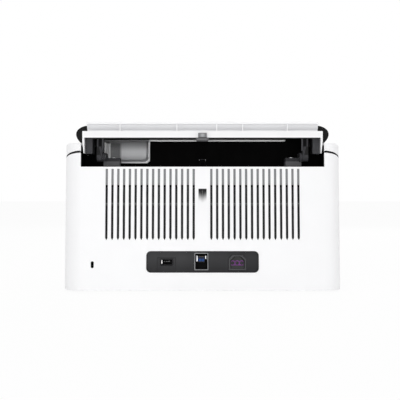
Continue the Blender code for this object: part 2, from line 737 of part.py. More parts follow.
def above_parting(offset, front_bottom):
    """All that lies above the parting, moved up or down by an offset."""
    rear = rear_y(PARTING_REAR_Z)
    outline = [(HALF_DEPTH + OVERRUN, PARTING_REAR_Z
                + offset * (1 + PARTING_WIDENING_SHARE))]
    for step in range(PARTING_STEPS + 1):
        y = rear + (HATCH_PIVOT_Y - rear) * step / PARTING_STEPS
        nearness = max(1 - (rear - y) / PARTING_WIDE_LENGTH, 0)
        widened = offset * (1 + PARTING_WIDENING_SHARE * nearness)
        outline.append((y, parting_z(y) + widened))
    outline.append((HATCH_PIVOT_Y, front_bottom))
    outline.append((-HALF_DEPTH - OVERRUN, front_bottom))
    outline.append((-HALF_DEPTH - OVERRUN, SHOULDER_HEIGHT + OVERRUN))
    outline.append((HALF_DEPTH + OVERRUN, SHOULDER_HEIGHT + OVERRUN))
    return prism_x(outline, -HALF_WIDTH - OVERRUN, HALF_WIDTH + OVERRUN)


def path_point(station, offset):
    """A point on the paper path, or beside it: up and forward for a positive offset."""
    entry = (-math.cos(PATH_ENTRY_ANGLE), -math.sin(PATH_ENTRY_ANGLE))
    drop = min(station, PATH_DROP_LENGTH)
    y = PATH_TOP_Y + entry[0] * drop
    z = PATH_TOP_Z + entry[1] * drop
    bend = min(max(station - PATH_DROP_LENGTH, 0), PATH_BEND_LENGTH)
    angle = PATH_ENTRY_ANGLE - bend / PATH_BEND_RADIUS
    y += PATH_BEND_RADIUS * (math.sin(angle) - math.sin(PATH_ENTRY_ANGLE))
    z += PATH_BEND_RADIUS * (math.cos(PATH_ENTRY_ANGLE) - math.cos(angle))
    run = max(station - PATH_BEND_END, 0)
    y += -math.cos(angle) * run - math.sin(angle) * offset
    z += -math.sin(angle) * run + math.cos(angle) * offset
    return (y, z)


def path_band(start, end, near, far, left, right):
    """A plate that follows the paper path, between two offsets from it."""
    stations = [start]
    for step in range(PATH_BEND_STEPS + 1):
        station = PATH_DROP_LENGTH + PATH_BEND_LENGTH * step / PATH_BEND_STEPS
        if start < station < end:
            stations.append(station)
    stations.append(end)
    outline = [path_point(station, near) for station in stations]
    outline += [path_point(station, far) for station in reversed(stations)]
    return prism_x(outline, left, right)


PICK_CENTRE = path_point(PICK_STATION, -ROLLER_RADIUS)
DRIVE_CENTRE = path_point(DRIVE_STATION, -ROLLER_RADIUS)
IDLER_CENTRE = path_point(IDLER_STATION, -ROLLER_RADIUS)
EXIT_CENTRE = path_point(EXIT_STATION, -EXIT_RADIUS)
SEPARATION_CENTRE = path_point(PICK_STATION, SEPARATION_RADIUS)
PINCH_CENTRE = path_point(DRIVE_STATION, PINCH_RADIUS)
EXIT_PINCH_CENTRE = path_point(EXIT_STATION, EXIT_PINCH_RADIUS)


# Base: covers, plate and feet

def vent_slits():
    """The slits that go through the wall, and their blind upper ends."""
    half = VENT_WIDTH / 2
    wall_rear = HALF_DEPTH + OVERRUN
    through = []
    blind = []
    for index in range(VENT_COUNT):
        for side in (-1, 1):
            x = side * (VENT_INNER_X + index * VENT_PITCH)
            outline = [(x, VENT_BOTTOM_Z), (x + half, VENT_BOTTOM_Z + VENT_WIDTH)]
            outline += [(x + half, VENT_OPEN_Z), (x - half, VENT_OPEN_Z)]
            outline.append((x - half, VENT_BOTTOM_Z + VENT_WIDTH))
            through.append(prism_y(outline, HALF_DEPTH - SHELL_WALL - OVERRUN, wall_rear))
            outline = [(x - half, VENT_OPEN_Z - FIT), (x + half, VENT_OPEN_Z - FIT)]
            outline += [(x + half, VENT_TOP_Z), (x - half, VENT_TOP_Z)]
            blind.append(prism_y(outline, HALF_DEPTH - VENT_BLIND_DEPTH, wall_rear))
    return leaned(gather(through)), leaned(gather(blind))


def rear_cover():
    """The white shell of rear wall, sides and lower front corners."""
    cover = body_block(FOOT_HEIGHT, SHOULDER_HEIGHT, 0)
    carve(cover, body_block(FOOT_HEIGHT - OVERRUN, SHOULDER_HEIGHT + OVERRUN, SHELL_WALL))
    carve(cover, above_parting(-PARTING_GAP / 2, PARTING_FRONT_Z - PARTING_GAP / 2))
    reach = HALF_WIDTH + OVERRUN
    carve(cover, cylinder_x(CRADLE_RADIUS, -reach, reach, HATCH_PIVOT_Y, HATCH_PIVOT_Z,
                            FINE_SIDES))
    carve(cover, box(-OPENING_HALF_WIDTH, OPENING_HALF_WIDTH, -HALF_DEPTH - OVERRUN,
                     HATCH_PIVOT_Y, PLATE_TOP_Z, PARTING_FRONT_Z))
    carve(cover, box(-BAY_HALF_WIDTH, BAY_HALF_WIDTH, 0, HALF_DEPTH + OVERRUN, SILL_Z,
                     SHOULDER_HEIGHT))
    inner_wall = HALF_DEPTH - SHELL_WALL
    boss_half = NOTCH_WIDTH / 2 + NOTCH_WALL
    boss = leaned(box(-boss_half, boss_half, HALF_DEPTH - NOTCH_DEPTH - NOTCH_WALL,
                      inner_wall + VENT_RIB_SINK, NOTCH_BOTTOM_Z - NOTCH_WALL,
                      NOTCH_TOP_Z + NOTCH_WALL))
    fuse(cover, boss)
    carve(cover, *vent_slits())
    rib_half = VENT_INNER_X + VENT_COUNT * VENT_PITCH
    rib = leaned(box(-rib_half, rib_half, inner_wall - VENT_RIB_DEPTH,
                     inner_wall + VENT_RIB_SINK, VENT_RIB_Z - VENT_RIB_HEIGHT / 2,
                     VENT_RIB_Z + VENT_RIB_HEIGHT / 2))
    fuse(cover, rib)
    wedge = [(HALF_DEPTH + OVERRUN, NOTCH_BOTTOM_Z), (HALF_DEPTH, NOTCH_BOTTOM_Z)]
    wedge += [(HALF_DEPTH - NOTCH_DEPTH, NOTCH_TOP_Z - NOTCH_WALL)]
    wedge += [(HALF_DEPTH - NOTCH_DEPTH, NOTCH_TOP_Z), (HALF_DEPTH + OVERRUN, NOTCH_TOP_Z)]
    carve(cover, leaned(prism_x(wedge, -NOTCH_WIDTH / 2, NOTCH_WIDTH / 2)))
    port = rounded_rectangle((0, PORT_Z), PORT_WIDTH, PORT_HEIGHT, PORT_RADIUS, CORNER_STEPS)
    lock = rounded_rectangle((LOCK_SLOT_X, LOCK_SLOT_Z), LOCK_SLOT_WIDTH, LOCK_SLOT_HEIGHT,
                             LOCK_SLOT_WIDTH / 2 - FIT, CORNER_STEPS)
    for outline in (port, lock):
        cutter = prism_y(outline, inner_wall - OVERRUN, HALF_DEPTH + OVERRUN)
        carve(cover, leaned(cutter))
    return piece(cover, "rear_cover", "white")


def base_plate():
    """The bottom plate with its hinge posts, board posts and tray rails."""
    plate = body_block(FOOT_HEIGHT, PLATE_TOP_Z, SHELL_WALL + FIT)
    root = PLATE_TOP_Z - PLATE_THICKNESS / 2
    for side in (-1, 1):
        inner = DRUM_INNER_X - FIT - HINGE_POST_WIDTH
        outline = arc((HATCH_PIVOT_Y, HATCH_PIVOT_Z), HINGE_POST_RADIUS, 0, math.pi,
                      CORNER_STEPS)
        outline += [(HATCH_PIVOT_Y - HINGE_POST_RADIUS, root)]
        outline += [(HATCH_PIVOT_Y + HINGE_POST_RADIUS, root)]
        post = prism_x(outline, inner, inner + HINGE_POST_WIDTH)
        pin = cylinder_x(HINGE_PIN_RADIUS, inner + HINGE_POST_WIDTH / 2,
                         DRUM_INNER_X + HINGE_PIN_GRIP, HATCH_PIVOT_Y, HATCH_PIVOT_Z,
                         ROUND_SIDES)
        rail = box(OUTPUT_HALF_WIDTH + FIT, OUTPUT_HALF_WIDTH + FIT + TRAY_RAIL_WIDTH,
                   HATCH_PIVOT_Y + HINGE_POST_RADIUS + FIT, OUTPUT_REAR_Y, root,
                   PLATE_TOP_Z + TRAY_RAIL_HEIGHT)
        for part in (post, pin, rail):
            fuse(plate, part if side > 0 else mirrored(part))
    rear = rear_y(BOARD_TOP_Z) - BOARD_REAR_GAP
    for side in (-1, 1):
        x = side * (BOARD_WIDTH / 2 - BOARD_POST_INSET)
        for y in (rear - BOARD_POST_INSET, rear - BOARD_DEPTH + BOARD_POST_INSET):
            post = circle((x, y), BOARD_POST_RADIUS, SMALL_SIDES)
            fuse(plate, prism_z(post, root, BOARD_TOP_Z - BOARD_THICKNESS - FIT))
    piece(plate, "base_plate", "mid_grey")


def feet():
    """Four rubber feet under the plate."""
    for side, side_name in ((-1, "left"), (1, "right")):
        for end, end_name in ((-1, "front"), (1, "rear")):
            x = side * (HALF_WIDTH - FOOT_SIDE_INSET)
            y = end * (HALF_DEPTH - FOOT_END_INSET)
            foot = prism_z(circle((x, y), FOOT_RADIUS, ROUND_SIDES), 0, FOOT_HEIGHT - FIT)
            piece(foot, f"foot_{end_name}_{side_name}", "rubber")


# Base: port panel and sockets

def inlet_outline(inset):
    """The power inlet's outline, with chamfered upper corners."""
    half = INLET_WIDTH / 2 - inset
    top = INLET_Z + INLET_HEIGHT / 2 - inset
    bottom = INLET_Z - INLET_HEIGHT / 2 + inset
    outline = [(INLET_X - half, bottom), (INLET_X + half, bottom)]
    outline += [(INLET_X + half, top - INLET_CHAMFER), (INLET_X + half - INLET_CHAMFER, top)]
    outline += [(INLET_X - half + INLET_CHAMFER, top), (INLET_X - half, top - INLET_CHAMFER)]
    return outline


def upright_box(x, z, width, height, front, rear):
    """A block given by its middle, width and height as seen from behind."""
    return box(x - width / 2, x + width / 2, front, rear, z - height / 2, z + height / 2)


def socket_shell(x, z, width, height, face):
    """A square metal socket, open to the rear, closed at its inner end."""
    inner = face - SOCKET_DEPTH
    shell = upright_box(x, z, width, height, inner, face)
    hollow = upright_box(x, z, width - 2 * SOCKET_WALL, height - 2 * SOCKET_WALL,
                         inner + SOCKET_WALL, face + OVERRUN)
    return carve(shell, hollow)


def port_panel():
    """The dark panel behind the port cut-out, with the three sockets in it."""
    face = HALF_DEPTH - SHELL_WALL - FIT
    proud = face + SOCKET_PROUD
    outline = rounded_rectangle((0, PORT_Z), PORT_WIDTH + 2 * PANEL_LAP,
                                PORT_HEIGHT + 2 * PANEL_LAP, PORT_RADIUS, CORNER_STEPS)
    panel = prism_y(outline, face - PANEL_THICKNESS, face)
    through = (face - PANEL_THICKNESS - OVERRUN, face + OVERRUN)
    for x, z, width, height in ((DATA_X, DATA_Z, DATA_WIDTH, DATA_HEIGHT),
                                (SERVICE_X, SERVICE_Z, SERVICE_WIDTH, SERVICE_HEIGHT)):
        carve(panel, upright_box(x, z, width + 2 * FIT, height + 2 * FIT, *through))
    carve(panel, prism_y(inlet_outline(-FIT), *through))
    piece(leaned(panel), "port_panel", "mid_grey")

    data = socket_shell(DATA_X, DATA_Z, DATA_WIDTH, DATA_HEIGHT, proud)
    piece(leaned(data), "data_socket", "steel")
    floor = proud - SOCKET_DEPTH + SOCKET_WALL
    low = DATA_Z + DATA_HEIGHT / 2 - SOCKET_WALL - DATA_TONGUE_HEIGHT
    tongue = upright_box(DATA_X, low, DATA_TONGUE_WIDTH, DATA_TONGUE_HEIGHT, floor + FIT,
                         proud - SOCKET_WALL)
    piece(leaned(tongue), "data_socket_tongue", "blue")

    service = socket_shell(SERVICE_X, SERVICE_Z, SERVICE_WIDTH, SERVICE_HEIGHT, proud)
    fuse(service, upright_box(SERVICE_X, SERVICE_Z, SERVICE_TONGUE_WIDTH,
                              SERVICE_TONGUE_HEIGHT, floor - SOCKET_WALL / 2,
                              proud - SOCKET_WALL))
    piece(leaned(service), "service_socket", "mid_grey")

    inlet = prism_y(inlet_outline(0), proud - SOCKET_DEPTH, proud)
    carve(inlet, prism_y(inlet_outline(INLET_WALL), proud - SOCKET_DEPTH + INLET_WALL,
                         proud + OVERRUN))
    piece(leaned(inlet), "power_inlet", "black")
    start = proud - SOCKET_DEPTH + INLET_WALL + FIT
    insert = prism_y(inlet_outline(INLET_WALL + FIT), start, start + INSERT_DEPTH)
    for index in (-1, 0, 1):
        place = (INLET_X + index * INLET_PIN_PITCH, INLET_Z)
        pin = prism_y(circle(place, INLET_PIN_RADIUS, SMALL_SIDES),
                      start + INSERT_DEPTH / 2, start + INSERT_DEPTH + INLET_PIN_LENGTH)
        fuse(insert, pin)
    piece(leaned(insert), "power_inlet_insert", "purple")


def main_board():
    """The circuit board under the sockets."""
    rear = rear_y(BOARD_TOP_Z) - BOARD_REAR_GAP
    board = box(-BOARD_WIDTH / 2, BOARD_WIDTH / 2, rear - BOARD_DEPTH, rear,
                BOARD_TOP_Z - BOARD_THICKNESS, BOARD_TOP_Z)
    piece(board, "main_board", "green")


# Base: side plates, lower guide and lower scan bar

def side_plates():
    """Two metal plates that carry the shafts, the guide and the motor."""
    rear = rear_y(DECK_Z) - SHELL_WALL - SIDE_PLATE_REAR_GAP
    top = DECK_Z - SIDE_PLATE_TOP_GAP
    bottom = PLATE_TOP_Z + FIT
    crest = path_point(PICK_STATION, SIDE_PLATE_MARGIN)
    knee = path_point(DRIVE_STATION + SIDE_PLATE_SLOPE_LENGTH, SIDE_PLATE_MARGIN)
    toe = path_point(EXIT_STATION, SIDE_PLATE_MARGIN)
    front = EXIT_CENTRE[0] - SIDE_PLATE_FRONT_LENGTH
    outline = [(front, bottom), (rear, bottom), (rear, top), (crest[0], top)]
    outline += [crest, knee, toe, (front, toe[1])]
    for side, side_name in ((-1, "left"), (1, "right")):
        plate = prism_x(outline, SIDE_PLATE_X, SIDE_PLATE_X + SIDE_PLATE_THICKNESS)
        reach = (SIDE_PLATE_X - OVERRUN, SIDE_PLATE_X + SIDE_PLATE_THICKNESS + OVERRUN)
        bores = [(PICK_CENTRE, SHAFT_RADIUS), (DRIVE_CENTRE, SHAFT_RADIUS)]
        bores.append((EXIT_CENTRE, SHAFT_RADIUS))
        if side < 0:
            bores.append(((MOTOR_Y, MOTOR_Z), MOTOR_SHAFT_RADIUS))
        for (y, z), radius in bores:
            carve(plate, cylinder_x(radius + FIT, *reach, y, z, SMALL_SIDES))
        if side > 0:
            fuse(plate, cylinder_x(SHAFT_RADIUS, SIDE_PLATE_X + SIDE_PLATE_THICKNESS / 2,
                                   GEAR_X + GEAR_WIDTH, *IDLER_CENTRE, SMALL_SIDES))
        if side < 0:
            mirrored(plate)
        piece(plate, f"side_plate_{side_name}", "steel")


def scan_bar(side, bar_name, glass_name):
    """A scan bar across the paper path, with the glass over it."""
    start = SENSOR_STATION - SENSOR_WIDTH / 2
    end = SENSOR_STATION + SENSOR_WIDTH / 2
    near = side * (PATH_GAP + GLASS_THICKNESS + FIT)
    far = side * (PATH_GAP + GLASS_THICKNESS + FIT + SENSOR_DEPTH)
    bar = path_band(start, end, near, far, -SENSOR_HALF_LENGTH, SENSOR_HALF_LENGTH)
    piece(bar, bar_name, "black")
    glass = path_band(start, end, side * PATH_GAP, side * (PATH_GAP + GLASS_THICKNESS),
                      -SENSOR_HALF_LENGTH, SENSOR_HALF_LENGTH)
    piece(glass, glass_name, "glass")


def sensor_window(side):
    """The cutter for a scan bar's window in a paper guide."""
    start = SENSOR_STATION - SENSOR_WIDTH / 2 - FIT
    end = SENSOR_STATION + SENSOR_WIDTH / 2 + FIT
    half = SENSOR_HALF_LENGTH + FIT
    return path_band(start, end, -side * PATH_GAP, side * (PATH_GAP + SENSOR_DEPTH), -half,
                     half)


def roller_windows(centre, radius, tyres):
    """Round cutters that clear a roller's tyres, side by side."""
    cutters = []
    for middle in tyres:
        half = (ROLLER_HALF_WIDTH if middle == 0 else TYRE_HALF_WIDTH) + ROLLER_WINDOW_MARGIN
        cutters.append(cylinder_x(radius + ROLLER_WINDOW_MARGIN, middle - half, middle + half,
                                  *centre, ROUND_SIDES))
    return gather(cutters)


def lower_guide():
    """The lower paper guide with the lip that meets the rear wall."""
    half = SIDE_PLATE_X - FIT
    far = -(PATH_GAP + GUIDE_THICKNESS)
    guide = path_band(0, GUIDE_END_STATION, -PATH_GAP, far, -half, half)
    top = SILL_Z - FIT
    rear = rear_y(SILL_Z) - SHELL_WALL - FIT
    lip = box(-half, half, BAY_FLOOR_REAR_Y + ENTRY_LIP_GAP, rear, top - ENTRY_LIP_THICKNESS,
              top)
    fuse(guide, lip)
    carve(guide, roller_windows(PICK_CENTRE, ROLLER_RADIUS, (0,)))
    for centre, radius in ((DRIVE_CENTRE, ROLLER_RADIUS), (EXIT_CENTRE, EXIT_RADIUS)):
        carve(guide, roller_windows(centre, radius, (-TYRE_CENTRE_X, TYRE_CENTRE_X)))
    carve(guide, sensor_window(-1))
    piece(guide, "lower_paper_guide", "black")
    scan_bar(-1, "lower_scan_bar", "lower_scan_glass")


# Drive: rollers, gears, motor and belts

def gear_outline(centre, phase):
    """A spur gear with plain trapezoid teeth, seen along its axis."""
    root = GEAR_RADIUS - GEAR_DEDENDUM_SHARE * GEAR_MODULE
    tip = GEAR_RADIUS + GEAR_ADDENDUM_SHARE * GEAR_MODULE
    pitch = 2 * math.pi / GEAR_TEETH
    points = []
    for tooth in range(GEAR_TEETH):
        middle = phase + tooth * pitch
        for radius, share in ((root, -TOOTH_ROOT_SHARE), (tip, -TOOTH_TIP_SHARE),
                              (tip, TOOTH_TIP_SHARE), (root, TOOTH_ROOT_SHARE)):
            angle = middle + share * pitch
            x = centre[0] + radius * math.cos(angle)
            y = centre[1] + radius * math.sin(angle)
            points.append((x, y))
    return points


def shaft_with_tyres(radius, centre, shaft, reach, tyres, sides):
    """A shaft along X with rubber tyres at the places given."""
    half = ROLLER_HALF_WIDTH if tyres == (0,) else TYRE_HALF_WIDTH
    profile = [(reach[0], shaft)]
    for middle in tyres:
        profile += [(middle - half, shaft), (middle - half, radius - FIT / 2)]
        profile += [(middle + half, radius - FIT / 2), (middle + half, shaft)]
    profile.append((reach[1], shaft))
    return turned_x(profile, *centre, sides)


def pulley(radius, start, centre):
    """A belt pulley with two thin flanges."""
    profile = [(start - PULLEY_FLANGE - FIT, radius + BELT_THICKNESS)]
    profile += [(start - FIT, radius + BELT_THICKNESS), (start - FIT, radius)]
    profile += [(start + BELT_WIDTH + FIT, radius)]
    profile += [(start + BELT_WIDTH + FIT, radius + BELT_THICKNESS)]
    profile += [(start + BELT_WIDTH + FIT + PULLEY_FLANGE, radius + BELT_THICKNESS)]
    return turned_x(profile, *centre, SMALL_SIDES)


def belt(name, first, first_radius, second, second_radius, start):
    """A closed flat belt round two pulleys."""
    line = Vector((second[0] - first[0], second[1] - first[1]))
    lean = math.atan2(line.y, line.x)
    spread = math.acos((first_radius - second_radius) / line.length)
    loops = []
    for extra in (FIT, FIT + BELT_THICKNESS):
        outline = arc(first, first_radius + extra, lean + spread,
                      lean + 2 * math.pi - spread, BELT_STEPS)
        outline += arc(second, second_radius + extra, lean - spread, lean + spread,
                       BELT_STEPS)
        loops.append(outline)
    loop = prism_x(loops[1], start, start + BELT_WIDTH)
    carve(loop, prism_x(loops[0], start - OVERRUN, start + BELT_WIDTH + OVERRUN))
    piece(loop, name, "rubber")


def drive_train():
    """The driven rollers, the idler gear, the motor and the two belts."""
    reach = SIDE_PLATE_X + SIDE_PLATE_THICKNESS + FIT
    gear_end = GEAR_X + GEAR_WIDTH
    away = math.atan2(PICK_CENTRE[1] - DRIVE_CENTRE[1], PICK_CENTRE[0] - DRIVE_CENTRE[0])
    tyres = (-TYRE_CENTRE_X, TYRE_CENTRE_X)

    pick = shaft_with_tyres(ROLLER_RADIUS, PICK_CENTRE, SHAFT_RADIUS, (-reach, gear_end), (0,),
                            ROUND_SIDES)
    fuse(pick, prism_x(gear_outline(PICK_CENTRE, away), GEAR_X, gear_end))
    piece(pick, "pick_roller", "rubber")

    drive_reach = (MOTOR_BELT_X - BELT_SIDE_GAP, EXIT_BELT_X + BELT_WIDTH + BELT_SIDE_GAP)
    drive = shaft_with_tyres(ROLLER_RADIUS, DRIVE_CENTRE, SHAFT_RADIUS, drive_reach, tyres,
                             ROUND_SIDES)
    fuse(drive, prism_x(gear_outline(DRIVE_CENTRE, away), GEAR_X, gear_end))
    fuse(drive, pulley(EXIT_DRIVE_PULLEY_RADIUS, EXIT_BELT_X, DRIVE_CENTRE))
    fuse(drive, pulley(DRIVE_PULLEY_RADIUS, MOTOR_BELT_X, DRIVE_CENTRE))
    piece(drive, "drive_roller", "rubber")

    half_pitch = math.pi / GEAR_TEETH
    idler = prism_x(gear_outline(IDLER_CENTRE, away + half_pitch), GEAR_X, gear_end)
    carve(idler, cylinder_x(SHAFT_RADIUS + FIT, GEAR_X - OVERRUN, gear_end + OVERRUN,
                            *IDLER_CENTRE, SMALL_SIDES))
    piece(idler, "idler_gear", "natural")

    exit_reach = (-reach, EXIT_BELT_X + BELT_WIDTH + BELT_SIDE_GAP)
    exit_roller = shaft_with_tyres(EXIT_RADIUS, EXIT_CENTRE, SHAFT_RADIUS, exit_reach, tyres,
                                   ROUND_SIDES)
    fuse(exit_roller, pulley(EXIT_PULLEY_RADIUS, EXIT_BELT_X, EXIT_CENTRE))
    piece(exit_roller, "exit_roller", "rubber")

    motor_end = -(SIDE_PLATE_X - FIT)
    motor = cylinder_x(MOTOR_RADIUS, motor_end, motor_end + MOTOR_LENGTH, MOTOR_Y, MOTOR_Z,
                       ROUND_SIDES)
    bore = motor_end + MOTOR_SHAFT_DEPTH + FIT
    carve(motor, cylinder_x(MOTOR_SHAFT_RADIUS + FIT, motor_end - OVERRUN, bore, MOTOR_Y,
                            MOTOR_Z, SMALL_SIDES))
    piece(motor, "motor", "steel")
    place = (MOTOR_Y, MOTOR_Z)
    rotor = cylinder_x(MOTOR_SHAFT_RADIUS, MOTOR_BELT_X - BELT_SIDE_GAP,
                       motor_end + MOTOR_SHAFT_DEPTH, *place, SMALL_SIDES)
    fuse(rotor, pulley(MOTOR_PULLEY_RADIUS, MOTOR_BELT_X, place))
    piece(rotor, "motor_rotor", "steel")

    belt("motor_belt", place, MOTOR_PULLEY_RADIUS, DRIVE_CENTRE, DRIVE_PULLEY_RADIUS,
         MOTOR_BELT_X)
    belt("exit_belt", DRIVE_CENTRE, EXIT_DRIVE_PULLEY_RADIUS, EXIT_CENTRE,
         EXIT_PULLEY_RADIUS, EXIT_BELT_X)


# Hatch: shell, tub and trim

def panel_block(width, height, near, far):
    """A block on the hatch's front wall, near and far measured inward from its face."""
    face = front_y(PANEL_Z)
    block = upright_box(PANEL_X, PANEL_Z, width, height, face + near, face + far)
    return turn_x(block, face, PANEL_Z, -FRONT_LEAN)


def hatch_shell():
    """The white clamshell with both shoulders and its hinge drums."""
    zone = above_parting(PARTING_GAP / 2, HATCH_PIVOT_Z)
    hollow = body_block(FOOT_HEIGHT - OVERRUN, SHOULDER_HEIGHT - SHELL_WALL, SHELL_WALL)
    reach = HALF_WIDTH + OVERRUN
    pivot = (HATCH_PIVOT_Y, HATCH_PIVOT_Z)
    for side in (-1, 1):
        drum = cylinder_x(DRUM_RADIUS, DRUM_INNER_X, reach, *pivot, FINE_SIDES)
        core = cylinder_x(DRUM_RADIUS + FIT, DRUM_INNER_X + DRUM_FACE_TRIM, reach + OVERRUN,
                          *pivot, FINE_SIDES)
        fuse(zone, drum if side > 0 else mirrored(drum))
        carve(hollow, core if side > 0 else mirrored(core))
    shell = body_block(FOOT_HEIGHT, SHOULDER_HEIGHT, 0, SHOULDER_ROUNDING)
    shared(shell, zone)
    carve(shell, hollow)
    carve(shell, box(-BAY_HALF_WIDTH, BAY_HALF_WIDTH, TUB_FRONT_Y + TUB_WALL,
                     HALF_DEPTH + OVERRUN, TUB_TOP_Z - OVERRUN, SHOULDER_HEIGHT + OVERRUN))
    carve(shell, box(-BAY_HALF_WIDTH, BAY_HALF_WIDTH, 0, HALF_DEPTH + OVERRUN,
                     HATCH_PIVOT_Z, SHOULDER_HEIGHT + OVERRUN))
    strip = DRUM_INNER_X - DRUM_FACE_TRIM
    carve(shell, box(-strip, strip, -HALF_DEPTH - OVERRUN, HATCH_PIVOT_Y,
                     HATCH_PIVOT_Z - OVERRUN, PARTING_FRONT_Z))
    for side in (-1, 1):
        bore = cylinder_x(HINGE_PIN_RADIUS + FIT, DRUM_INNER_X - OVERRUN,
                          DRUM_INNER_X + HINGE_PIN_GRIP + FIT, *pivot, ROUND_SIDES)
        carve(shell, bore if side > 0 else mirrored(bore))
    carve(shell, panel_block(BEZEL_WIDTH + 2 * FIT, BEZEL_HEIGHT + 2 * FIT, -OVERRUN,
                             OVERRUN))
    piece(shell, "hatch_shell", "white")


def paper_tub():
    """The black tub of the hatch: deck, bay wall, bay floor and sides."""
    side = BAY_HALF_WIDTH + TUB_WALL
    inner = TUB_FRONT_Y + TUB_WALL
    outline = [(TUB_FRONT_Y, DECK_Z), (BAY_WALL_REAR_Y, DECK_Z)]
    outline += [(BAY_WALL_REAR_Y, BAY_FLOOR_Z), (BAY_FLOOR_REAR_Y, BAY_FLOOR_Z)]
    outline += [(BAY_FLOOR_REAR_Y, BAY_FLOOR_TOP_Z), (BAY_WALL_REAR_Y, BAY_FLOOR_TOP_Z)]
    outline += [(BAY_WALL_REAR_Y, TUB_TOP_Z), (BAY_WALL_FRONT_Y, TUB_TOP_Z)]
    outline += [(BAY_WALL_FRONT_Y, DECK_TOP_Z), (inner, DECK_TOP_Z), (inner, TUB_TOP_Z)]
    outline += [(TUB_FRONT_Y, TUB_TOP_Z)]
    tub = prism_x(outline, -side, side)
    for edge in (-side, BAY_HALF_WIDTH):
        fuse(tub, box(edge, edge + TUB_WALL, TUB_FRONT_Y, TUB_REAR_Y, DECK_Z, TUB_TOP_Z))
    fuse(tub, box(-BAY_WALL_UPPER_HALF, BAY_WALL_UPPER_HALF, BAY_WALL_FRONT_Y,
                  BAY_WALL_REAR_Y, DECK_TOP_Z, BAY_WALL_TOP_Z))
    half = CATCH_WIDTH / 2
    catch = [(-half, DECK_Z + DECK_THICKNESS), (half, DECK_Z + DECK_THICKNESS)]
    catch += [(half, BAY_FLOOR_TOP_Z + CATCH_HEIGHT), (-half, BAY_FLOOR_TOP_Z + CATCH_HEIGHT)]
    fuse(tub, prism_y(catch, CATCH_Y, CATCH_Y + CATCH_THICKNESS))
    carve(tub, box(CATCH_THICKNESS - half, half - CATCH_THICKNESS, CATCH_Y - OVERRUN,
                   CATCH_Y + OVERRUN, BAY_FLOOR_TOP_Z + FIT,
                   BAY_FLOOR_TOP_Z + CATCH_HEIGHT - CATCH_THICKNESS))
    groove = box(RIM_LEFT_X - FIT, POCKET_LEFT_X, BAY_WALL_REAR_Y - RIM_DEPTH - FIT,
                 BAY_WALL_REAR_Y + OVERRUN, RIM_Z - FIT, RIM_TOP_Z + FIT)
    carve(tub, groove)
    carve(tub, box(POCKET_LEFT_X - FIT, POCKET_RIGHT_X + FIT, POCKET_FRONT_Y,
                   BAY_WALL_REAR_Y + OVERRUN, POCKET_BOTTOM_Z - FIT, RIM_TOP_Z + FIT))
    piece(tub, "paper_tub", "black")


def bay_trim():
    """The light grey pocket of the bay wall and the thin rim beside it."""
    left = POCKET_LEFT_X
    right = POCKET_RIGHT_X
    outline = [(left, POCKET_BOTTOM_Z + POCKET_CHAMFER)]
    outline += [(left + POCKET_CHAMFER, POCKET_BOTTOM_Z), (right, POCKET_BOTTOM_Z)]
    outline += [(right, RIM_TOP_Z), (left, RIM_TOP_Z)]
    trim = prism_y(outline, POCKET_FRONT_Y, BAY_WALL_REAR_Y)
    levels = ((POCKET_FRONT_Y + POCKET_WALL, POCKET_DRAFT), (BAY_WALL_REAR_Y - POCKET_EDGE, 0),
              (BAY_WALL_REAR_Y + OVERRUN, 0))
    rings = []
    for y, inset in levels:
        low = POCKET_BOTTOM_Z + POCKET_WALL + inset
        near = left + POCKET_WALL + inset
        far = right - POCKET_WALL - inset
        rings.append([(far, y, low), (far, y, RIM_Z), (near, y, RIM_Z),
                      (near, y, low + POCKET_CHAMFER), (near + POCKET_CHAMFER, y, low)])
    carve(trim, from_rings(rings))
    fuse(trim, box(RIM_LEFT_X, left + POCKET_WALL / 2, BAY_WALL_REAR_Y - RIM_DEPTH,
                   BAY_WALL_REAR_Y, RIM_Z, RIM_TOP_Z))
    piece(trim, "bay_trim", "light_grey")


